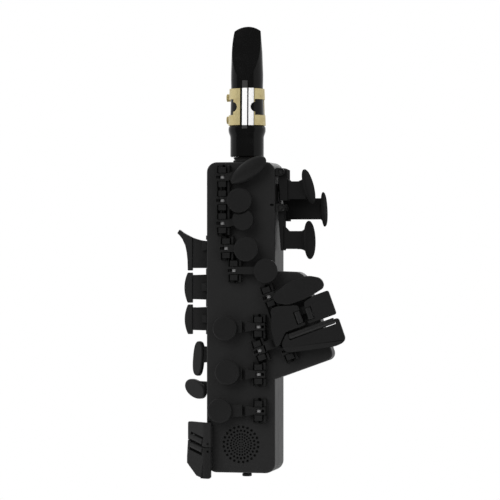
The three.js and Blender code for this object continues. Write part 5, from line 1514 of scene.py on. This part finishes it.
def octave_channel():
    """The octave key's foot with two lugs, the ends of its pin and two screws."""
    height, lug = OCTAVE["height"], OCTAVE["lug"]
    foot = foot_plate(**OCTAVE_FOOT)
    inner = OCTAVE["half"] + SEAM
    deep, rise = 1.5 * THIN_BARREL, (FOOT_PLATE["low"] + 0.5 * MM, height - 1 * MM)
    lugs = []
    for way in (-1, 1):
        span = sorted((way * inner, way * (inner + lug)))
        cheek = cuboid("cheek", span, (-deep, deep), rise)
        head = rod("head", THIN_BARREL, (span[0], 0, height), (span[1], 0, height))
        lugs.append(soften(fuse(cheek, head), 0.3 * MM))
    channel = place(joined("octave_channel", [soften(foot), *lugs]), on_back(OCTAVE["z"]))
    fitted(channel, "case", "key_plastic", KEY_PLASTIC, "octave_bracket")
    reach, rings = inner + lug, [(THIN_ROD, 0), *arc_rings(THIN_ROD, 0.5 * MM, ROD_ROUND)]
    for side, way in (("right", -1), ("left", 1)):
        end = turned(f"octave_pin_{side}", rings, sides=24)
        outwards = Matrix.Rotation(way * math.pi / 2, 4, "Y")
        place(end, on_back(OCTAVE["z"], way * reach, height) @ outwards)
        fitted(soften(end), "case", "steel", SCREW_BLACK)
    foot_screws("octave", OCTAVE["z"], [(-7 * MM, -10 * MM), (7 * MM, -10 * MM)])


def thumb_hook():
    """A bent hook for the right thumb on a screwed foot, with a cork pad under its arm."""
    half, end, top, thick = HOOK["half"], HOOK["end"], HOOK["top"], HOOK["thick"]
    tip, bend, fillet = top - HOOK["drop"], HOOK_BEND, HOOK_FILLET
    root, under = FOOT_PLATE["low"] + 0.5 * MM, top - thick
    outline = [(root, top), *arc((end - bend, top - bend), bend, 90, 0)]
    outline += arc((end - thick / 2, tip + thick / 2), thick / 2, 0, -180)
    outline += arc((end - bend, top - bend), bend - thick, 0, 90)
    outline += arc((FOOT_PLATE["top"] + fillet, under - fillet), fillet, 90, 180)
    outline.append((root, under - fillet))
    crook = soften(slab("crook", outline[::-1], -half, half), 0.7 * MM, steps=3, angle=50)
    place(crook, Matrix.Translation((0, BACK, FOOT + HOOK["z"])) @ FACING_RIGHT)
    foot = place(soften(foot_plate(half, -2 * half, 2 * half, 4 * MM)), on_back(HOOK["z"]))
    rest = joined("thumb_rest", [foot, crook])
    fitted(rest, "case", "key_plastic", KEY_PLASTIC, "thumb_hook")
    pad_outline = rectangle(4 * MM, 0.6 * MM, 9.6 * MM, under - 0.5 * MM)
    pad = slab("thumb_pad", pad_outline, -half + 1 * MM, half - 1 * MM)
    place(soften(pad, 0.4 * MM), Matrix.Translation((0, BACK, FOOT + HOOK["z"])) @ FACING_RIGHT)
    fitted(pad, "case", "cork", CORK)
    foot_screws("hook", HOOK["z"], [(-3.4 * MM, -9 * MM), (3.4 * MM, -9 * MM)])


def strap_eye():
    """A steel eye on a foot with four screws."""
    out, outer, half = EYE["out"], EYE["outer"], EYE["half"]
    disc = rod("disc", outer, (-half, 0, out), (half, 0, out), sides=64)
    rise = (FOOT_PLATE["low"] + 0.8 * MM, out - 0.45 * outer)
    fuse(disc, cuboid("root", (-half, half), (-0.9 * outer, 0.9 * outer), rise))
    cut(disc, rod("hole", EYE["hole"], (-outer, 0, out), (outer, 0, out), sides=64))
    soften(disc, 1 * MM, steps=4)
    foot = soften(foot_plate(6.5 * MM, -10 * MM, 10 * MM, 2 * MM))
    eye = place(joined("strap_eye", [foot, disc]), on_back(EYE["z"]))
    fitted(eye, "case", "steel", STEEL, "strap_ring")
    foot_screws("strap", EYE["z"], [(x * MM, y * MM) for x in (-4.3, 4.3) for y in (-7.6, 7.6)])


# The rest of the small pieces, from merged copies of their nodes

COPIES = {
    "side_bracket": ("side_channel", KEY_PLASTIC, 0.2 * MM),
    "main_board": ("circuit_card", BOARD, 0.1 * MM),
    "speaker": ("speaker_unit", SPEAKER_PLASTIC, 0.2 * MM),
    "battery": ("cell", WRAP, 0.3 * MM),
    "breath_sensor": ("breath_cell", SPEAKER_PLASTIC, 0.2 * MM),
}


def body_of_node(node):
    for body, members in frame["record"]["behaviour"]["bodies"].items():
        if node in members:
            return body
    return None


def slot_of_node(node):
    for part in frame["record"]["subparts"]:
        if part["node"] == node:
            return part["material_slot"]
    return None


def copied_pieces():
    for node, (name, finish, edge) in COPIES.items():
        piece = soften(merged_copy(node, name), edge)
        fitted(piece, body_of_node(node), slot_of_node(node), finish, node)


def thin_rods():
    """The side keys' and the right little finger's rods, and that finger's two rollers."""
    for node, name in (("side_rod", "side_shaft"), ("pinky_rod", "pinky_shaft")):
        low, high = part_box(node)
        middle = (low + high) / 2
        shaft = rod(name, THIN_ROD, (middle.x, middle.y, low.z), (middle.x, middle.y, high.z), ROD_ROUND)
        fitted(soften(shaft), "case", "steel", SCREW_BLACK, node)
    for joint in frame["joints"]:
        node = joint["child"]
        if node in ("e_flat_roller", "low_c_roller"):
            piece = roller_body(node.replace("roller", "roll"), PINKY_ROLLER["length"])
            turn = Vector(joint["axis"]).to_track_quat("Z", "Y").to_matrix().to_4x4()
            place(piece, Matrix.Translation(PIVOTS[node]) @ turn)
            fitted(piece, node, "key_plastic", SIDE_PLASTIC_PAINTED_LIGHT, node)


# Neck and mouthpiece, drawn upright from the end of the mouthpiece's shank

MOUTH_Z = 222.2 * MM
MOUTH = {"length": 92.8 * MM, "bore": 8.1 * MM, "bore_depth": 34 * MM, "tip_round": 15 * MM}
SHANK = {"radius": 11.9 * MM, "edge": 0.8 * MM}
MOUTH_PROFILE = [
    (11.9, 13.6), (12.0, 14.6), (12.9, 17.2), (13.15, 18.2), (13.2, 19.6), (13.1, 20.9),
    (12.6, 21.7), (12.1, 22.2), (11.3, 48.2), (11.45, 54.8), (11.4, 60), (11.25, 64),
    (10.9, 74.2), (10.3, 81.7), (9.7, 89.1), (9.6, 95),
]
AIR_WAY = [(-5, 28), (5, 28), (5, 40), (30, 48)]
REED = {"start": 22.6 * MM, "half": 6.8 * MM, "gap": 0.3 * MM, "tip": 0.35 * MM}
REED_BARK = [(12.1, 0), (12.1, 22), (11.3, 48.2), (11.3, 93)]
REED_CUT = [(30, 22.6), (30, 47), (11.3, 48.4), (8.6, 62), (6.6, 76)]
BEAK = {"start": 54 * MM, "start_y": -11.6 * MM, "tip_y": 3 * MM}
REED_TABLE = {"start": 21 * MM, "start_y": 8.4 * MM, "tip_y": 4.4 * MM}
BAND = {"low": 22.3 * MM, "top": 48.2 * MM, "low_radius": 12.1 * MM, "top_radius": 11.3 * MM}
BAND_WALL = 0.9 * MM
BAND_MIDDLE = 35.1 * MM
BAND_WINDOW = {"half": 5.6 * MM, "from": 37.5, "to": 118.0, "bulge": 3.4 * MM}
SPLIT = 3.2 * MM
POST = {"thick": 3 * MM, "near": 8.6 * MM, "far": 18.2 * MM, "half": 2.2 * MM, "apart": 8 * MM}
POST_BORE = {"radius": 1.4 * MM, "y": 15.6 * MM}
THUMB_HEAD = {"x": -13.6 * MM, "root": 2.4 * MM, "radius": 2.8 * MM, "length": 4.4 * MM, "sides": 48}
THUMB_SHAFT = {"radius": 1.1 * MM, "left": 14 * MM, "right": 7.2 * MM}
NECK = {
    "root": 6 * MM,
    "collar": 9.95 * MM,
    "groove": 9 * MM,
    "upper_collar": 9.7 * MM,
    "tube": 5.7 * MM,
    "bore": 3.5 * MM,
    "top": 243.2 * MM,
}
CORK_SLEEVE = {"radius": 7.8 * MM, "length": 19 * MM}
FAR = 30 * MM
STRIPS = {"left": (-0.8 * MM, 2.8 * MM), "right": (3.7 * MM, 7.1 * MM)}
BACKING = (-2.4 * MM, 7.4 * MM)
TONGUE = {"above": 5.4 * MM, "below": 2.6 * MM, "wall": 1.25 * MM}


def at_mouth():
    return Matrix.Translation((0, NECK_Y, FOOT + MOUTH_Z))


def table_y(z):
    share = (z - REED_TABLE["start"]) / (MOUTH["length"] - REED_TABLE["start"])
    return REED_TABLE["start_y"] + (REED_TABLE["tip_y"] - REED_TABLE["start_y"]) * share


def side_cut(name, corners, half):
    """A cutting tool from corners in Y and Z, as wide as the mouthpiece along X."""
    tool = slab(name, corners, -half, half)
    upright = Matrix(((0, 0, 1, 0), (1, 0, 0, 0), (0, 1, 0, 0), (0, 0, 0, 1)))
    return place(tool, upright)


def tip_limit():
    """What lies inside the rounded tip."""
    centre = MOUTH["length"] - MOUTH["tip_round"]
    disc = rod("tip", MOUTH["tip_round"], (0, -FAR, centre), (0, FAR, centre), sides=128)
    return fuse(disc, cuboid("below", (-FAR, FAR), (-FAR, FAR), (-FAR, centre)))


def mouthpiece():
    """A turned body with its beak and its reed table cut flat, a bore and an open air way."""
    rings = arc_rings(SHANK["radius"], 0, SHANK["edge"], way=-1) + in_mm(MOUTH_PROFILE)
    piece = turned("playing_mouthpiece", rings, sides=128)
    slope = (BEAK["tip_y"] - BEAK["start_y"]) / (MOUTH["length"] - BEAK["start"])
    sliced(piece, (0, BEAK["start_y"], BEAK["start"]), (0, -1, slope))
    start, past = REED_TABLE["start"], MOUTH["length"] + 20 * MM
    flat = [(table_y(start), start), (FAR, start), (FAR, past), (table_y(past), past)]
    tip = MOUTH["length"] - 4.4 * MM
    beak_inside = BEAK["tip_y"] + slope * (tip - MOUTH["length"]) + 1.2 * MM
    air_way = [*in_mm(AIR_WAY), (FAR, tip), (beak_inside, tip), (-5 * MM, 45 * MM)]
    bore = rod("bore", MOUTH["bore"], (0, 0, -FAR), (0, 0, MOUTH["bore_depth"]))
    cut(piece, side_cut("reed_table", flat, FAR), bore, side_cut("air_way", air_way, 5 * MM))
    shaped(piece, "INTERSECT", [tip_limit()])
    soften(piece, 0.25 * MM, steps=3, angle=28)
    place(piece, at_mouth())
    fitted(piece, "mouthpiece", "ebonite", RUBBER, "mouthpiece")


def reed():
    """Cane cut flat below, round on its bark and thinned towards the tip."""
    start, top = REED["start"], MOUTH["length"] - 1 * MM
    under = table_y(top) + REED["gap"]
    strip = [(table_y(start) + REED["gap"], start), *in_mm(REED_CUT)]
    strip += [(under + REED["tip"], top), (under, top)]
    bark = turned("cane_reed", in_mm(REED_BARK), sides=96)
    shaped(bark, "INTERSECT", [side_cut("strip", strip, REED["half"]), tip_limit()])
    soften(bark, 0.15 * MM)
    place(bark, at_mouth())
    fitted(bark, "mouthpiece", "cane", CANE, "reed")


def band_shell(name, low, top, wall):
    """A tapered tube round the mouthpiece between two heights, standing off by the least gap."""
    gap = 0.25 * MM

    def radius(z):
        share = (z - BAND["low"]) / (BAND["top"] - BAND["low"])
        return BAND["low_radius"] + (BAND["top_radius"] - BAND["low_radius"]) * share + gap

    outer = turned(name, [(radius(low) + wall, low), (radius(top) + wall, top)], sides=128)
    inner = turned("inner", [(radius(low), low - 0.01 * MM), (radius(top), top + 0.01 * MM)], sides=128)
    return cut(outer, inner)


def window_bulge(way):
    """The round bulge in a window's front edge, as a cutting tool."""
    lean = math.radians(BAND_WINDOW["from"])
    end = (way * FAR * math.sin(lean), -FAR * math.cos(lean), BAND_MIDDLE)
    return rod("bulge", BAND_WINDOW["bulge"], (0, 0, BAND_MIDDLE), end)


def ligature():
    """A split band with a window on each side, and with the posts of its two screws behind."""
    band = band_shell("ligature_band", BAND["low"], BAND["top"], BAND_WALL)
    half = BAND_WINDOW["half"]
    for way in (-1, 1):
        angles = [math.radians(a) for a in (BAND_WINDOW["from"], 80, BAND_WINDOW["to"])]
        corners = [(0, 0)] + [(way * FAR * math.sin(a), -FAR * math.cos(a)) for a in angles]
        cut(band, slab("window", corners, BAND_MIDDLE - half, BAND_MIDDLE + half), window_bulge(way))
    low, top = BAND["low"] - 1 * MM, BAND["top"] + 1 * MM
    cut(band, cuboid("gap", (-SPLIT, SPLIT), (0, FAR), (low, top)))
    soften(band, 0.25 * MM)
    posts, post_y = [], (POST["near"], POST["far"])
    for way in (-1, 1):
        for end in (-1, 1):
            x = sorted((way * SPLIT, way * (SPLIT + POST["thick"])))
            z = BAND_MIDDLE + end * POST["apart"]
            block = cuboid("post", x, post_y, (z - POST["half"], z + POST["half"]))
            bore = rod("bore", POST_BORE["radius"], (-FAR, POST_BORE["y"], z), (FAR, POST_BORE["y"], z))
            posts.append(soften(cut(block, bore), 0.5 * MM, steps=3))
    whole = joined("ligature_band", [band, *posts])
    place(whole, at_mouth())
    fitted(whole, "mouthpiece", "gold_brass", BRASS, "ligature")


def front_strip(name, span, reach, wall, finish):
    """A strip down the front of the band, kept clear of the right-hand window's bulge."""
    strip = band_shell(name, BAND["low"] - reach[0], BAND["top"] + reach[1], wall)
    shaped(strip, "INTERSECT", [cuboid("keep", span, (-FAR, 0), (0, MOUTH["length"]))])
    cut(strip, window_bulge(1))
    place(soften(strip, 0.08 * MM), at_mouth())
    fitted(strip, "mouthpiece", "steel", finish)


def painted_reflection_strips():
    """Two white strips on a dark backing as painted reflections, and the dull tongue under the left one."""
    wall, lap = BAND_WALL, 0.1 * MM
    front_strip("strip_backing", BACKING, (lap, lap), wall + lap, SCREW_BLACK)
    for side, span in STRIPS.items():
        front_strip(f"{side}_strip", span, (2 * lap, 2 * lap), wall + 0.4 * MM, STRIP_PAINTED_REFLECTION)
    # The tongue's grey is a painted reflection of the strip of light where it runs on past the band.
    reach = (TONGUE["below"], TONGUE["above"])
    front_strip("pressure_tongue", STRIPS["left"], reach, TONGUE["wall"], TONGUE_PAINTED_REFLECTION)


def is_knurl(middle, normal):
    """Whether a face of a screw's head is on every second one of its sides."""
    side = round(math.atan2(middle.y, middle.x) * THUMB_HEAD["sides"] / (2 * math.pi))
    return abs(normal.z) < 0.3 and side % 2 == 0


def ligature_screws():
    """Two thumb screws with a knurled head at the left."""
    for node in ("ligature_screw_lower", "ligature_screw_upper"):
        pivot = PIVOTS[node]
        rings = [(THUMB_HEAD["root"], 0)]
        rings += arc_rings(THUMB_HEAD["radius"], THUMB_HEAD["length"], 0.5 * MM)
        head = turned("head", rings, sides=THUMB_HEAD["sides"])
        bpy.ops.object.mode_set(mode="EDIT")
        select_faces(is_knurl)
        bpy.ops.mesh.inset(thickness=0.05 * MM, depth=-0.22 * MM, use_individual=True)
        bpy.ops.object.mode_set(mode="OBJECT")
        sideways = Matrix.Rotation(math.radians(-90), 4, "Y")
        place(head, Matrix.Translation(pivot + Vector((THUMB_HEAD["x"], 0, 0))) @ sideways)
        left, right = Vector((THUMB_SHAFT["left"], 0, 0)), Vector((THUMB_SHAFT["right"], 0, 0))
        shaft = rod("shaft", THUMB_SHAFT["radius"], pivot - left, pivot + right, ROD_ROUND)
        screw = joined(node.replace("ligature", "thumb"), [soften(head), soften(shaft)])
        fitted(screw, node, "gold_brass", BRASS, node)


def neck():
    """The collar on the case and the tube that runs up inside the mouthpiece, with its cork."""
    foot, seat = BODY_HEIGHT - 9 * MM, BODY_HEIGHT + 0.3 * MM
    root, tube_radius, groove = NECK["root"], NECK["tube"], NECK["groove"]
    rings = [(root, foot), (root, seat), (NECK["collar"] - 0.35 * MM, seat)]
    rings += arc_rings(NECK["collar"], seat + 1.4 * MM, 0.3 * MM)
    rings += [(groove, seat + 1.7 * MM), (groove, seat + 2.1 * MM)]
    rings += arc_rings(NECK["upper_collar"], seat + 3.6 * MM, 0.3 * MM)
    rings += [(tube_radius, seat + 3.6 * MM), (tube_radius, NECK["top"])]
    tube = turned("neck_tube", rings)
    bore = rod("bore", NECK["bore"], (0, 0, foot - DEEP), (0, 0, NECK["top"] + DEEP))
    soften(cut(tube, bore), 0.15 * MM)
    place(tube, Matrix.Translation((0, NECK_Y, FOOT)))
    fitted(tube, "case", "steel", CASE_PLASTIC, "neck_tenon")
    radius, length = CORK_SLEEVE["radius"], CORK_SLEEVE["length"]
    rings = [(radius - 0.3 * MM, 0), *arc_rings(radius, length, 0.6 * MM), (tube_radius + 0.1 * MM, length)]
    cork = turned("neck_cork", rings)
    cut(cork, rod("core", tube_radius + 0.05 * MM, (0, 0, -DEEP), (0, 0, 40 * MM)))
    place(soften(cork, 0.1 * MM), at_mouth())
    fitted(cork, "case", "cork", CORK, "tenon_cork")


# Camera, lamps, world and floor

CAMERA_TURN = math.radians(12)
CAMERA_DISTANCE = 1750 * MM
CAMERA_HEIGHT = 30.3 * MM
CAMERA_SHIFT = 3 * MM
FOCAL_PIXELS = 2472
PICTURE_PIXELS = 500
LAMP_TARGET = Vector((0, 0, 30 * MM))
LAMPS = {
    "key_lamp": ((-0.8, -1.5, 1.1), 1.4, 28, False),
    "fill_lamp": ((1.7, -1.7, 0.6), 1.2, 12, False),
    "back_lamp": ((0.6, 2.0, 1.6), 1.2, 24, True),
}


def camera():
    right = Vector((math.cos(CAMERA_TURN), math.sin(CAMERA_TURN), 0))
    back = Vector((math.sin(CAMERA_TURN), -math.cos(CAMERA_TURN), 0))
    target = right * CAMERA_SHIFT + Vector((0, MIDDLE_DEPTH, CAMERA_HEIGHT))
    data = bpy.data.cameras.new("camera")
    data.sensor_width = data.sensor_height = 36
    data.lens = FOCAL_PIXELS / PICTURE_PIXELS * data.sensor_width
    data.clip_start = 0.05
    data.clip_end = 30
    view = bpy.data.objects.new("camera", data)
    bpy.context.scene.collection.objects.link(view)
    view.location = target + back * CAMERA_DISTANCE
    view.rotation_euler = (-back).to_track_quat("-Z", "Y").to_euler()
    bpy.context.scene.camera = view


def lamp(name, position, size, power, mirrored):
    """A square lamp that looks at the middle of the instrument."""
    data = bpy.data.lights.new(name, "AREA")
    data.shape = "SQUARE"
    data.size = size
    data.energy = power
    lamp_object = bpy.data.objects.new(name, data)
    bpy.context.scene.collection.objects.link(lamp_object)
    lamp_object.visible_glossy = mirrored
    lamp_object.location = position
    lamp_object.rotation_euler = (LAMP_TARGET - Vector(position)).to_track_quat("-Z", "Y").to_euler()


RAYS = ("Camera", "Glossy", "Transmission")
ROOM_LIGHT = 0.5
RIGHT_SHADE = 0.25
LEFT_SHADE = 0.35
CARD_TURN = math.radians(-4)
CARD = {"outside": math.cos(math.radians(67)), "inside": math.cos(math.radians(61)), "level": 0.1}


def studio():
    """Three soft lamps in a white room, where gloss finds a dark card behind the camera and dimmer sides."""
    for name, (position, size, power, mirrored) in LAMPS.items():
        lamp(name, position, size, power, mirrored)
    world = bpy.data.worlds.new("studio")
    bpy.context.scene.world = world
    world.use_nodes = True
    nodes = Nodes(world.node_tree)
    rays = {word: nodes.add("ShaderNodeLightPath", output=f"Is {word} Ray") for word in RAYS}
    mirrored = nodes.add("ShaderNodeMath", {0: rays["Glossy"], 1: rays["Transmission"]}, operation="MAXIMUM")
    towards = (math.sin(CARD_TURN), -math.cos(CARD_TURN), 0)
    rightwards = (math.cos(CAMERA_TURN), math.sin(CAMERA_TURN), 0)
    leftwards = tuple(-value for value in rightwards)
    direction = nodes.add("ShaderNodeTexCoord", output="Generated")
    level = nodes.vector_maths("MULTIPLY", direction, (1, 1, 0.35))
    level = nodes.vector_maths("NORMALIZE", level)
    card = nodes.share(nodes.dot(level, towards), CARD["outside"], CARD["inside"])
    shade = nodes.share(nodes.dot(level, rightwards), 0.0, 0.9)
    far_shade = nodes.share(nodes.dot(level, leftwards), 0.0, 0.9)
    room = (1 - card * (1 - CARD["level"])) * (1 - shade * RIGHT_SHADE - far_shade * LEFT_SHADE)
    strength = ROOM_LIGHT + rays["Camera"] * (1 - ROOM_LIGHT) + mirrored * (room - ROOM_LIGHT)
    background = world.node_tree.nodes["Background"]
    background.inputs["Color"].default_value = grey(1)
    nodes.join(background.inputs["Strength"], strength)


def floor():
    """A pale round floor well below the instrument, too small to reach into the front view."""
    deselect()
    middle = (0, 0, FOOT - 90 * MM)
    bpy.ops.mesh.primitive_circle_add(vertices=96, radius=0.5, fill_type="NGON", location=middle)
    ground = named("floor")
    bpy.ops.object.transform_apply(location=True)
    finish = Finish("pale_floor", {"Roughness": 0.9})
    tone = finish.noise(6, detail=2)
    finish.set("Base Color", finish.blend(tone, grey(0.76), grey(0.8)))
    ground.data.materials.append(finish.material)


camera()
front_cover()
front_trim()
rear_cover()
power_button()
left_stack()
right_stack()
table_keys()
low_b_key()
table_rollers()
table_channel()
palm_keys()
left_side_keys()
octave_lever()
octave_channel()
thumb_hook()
strap_eye()
copied_pieces()
thin_rods()
mouthpiece()
reed()
ligature()
painted_reflection_strips()
ligature_screws()
neck()
studio()
floor()

bpy.context.scene.view_settings.view_transform = "Standard"
deselect()
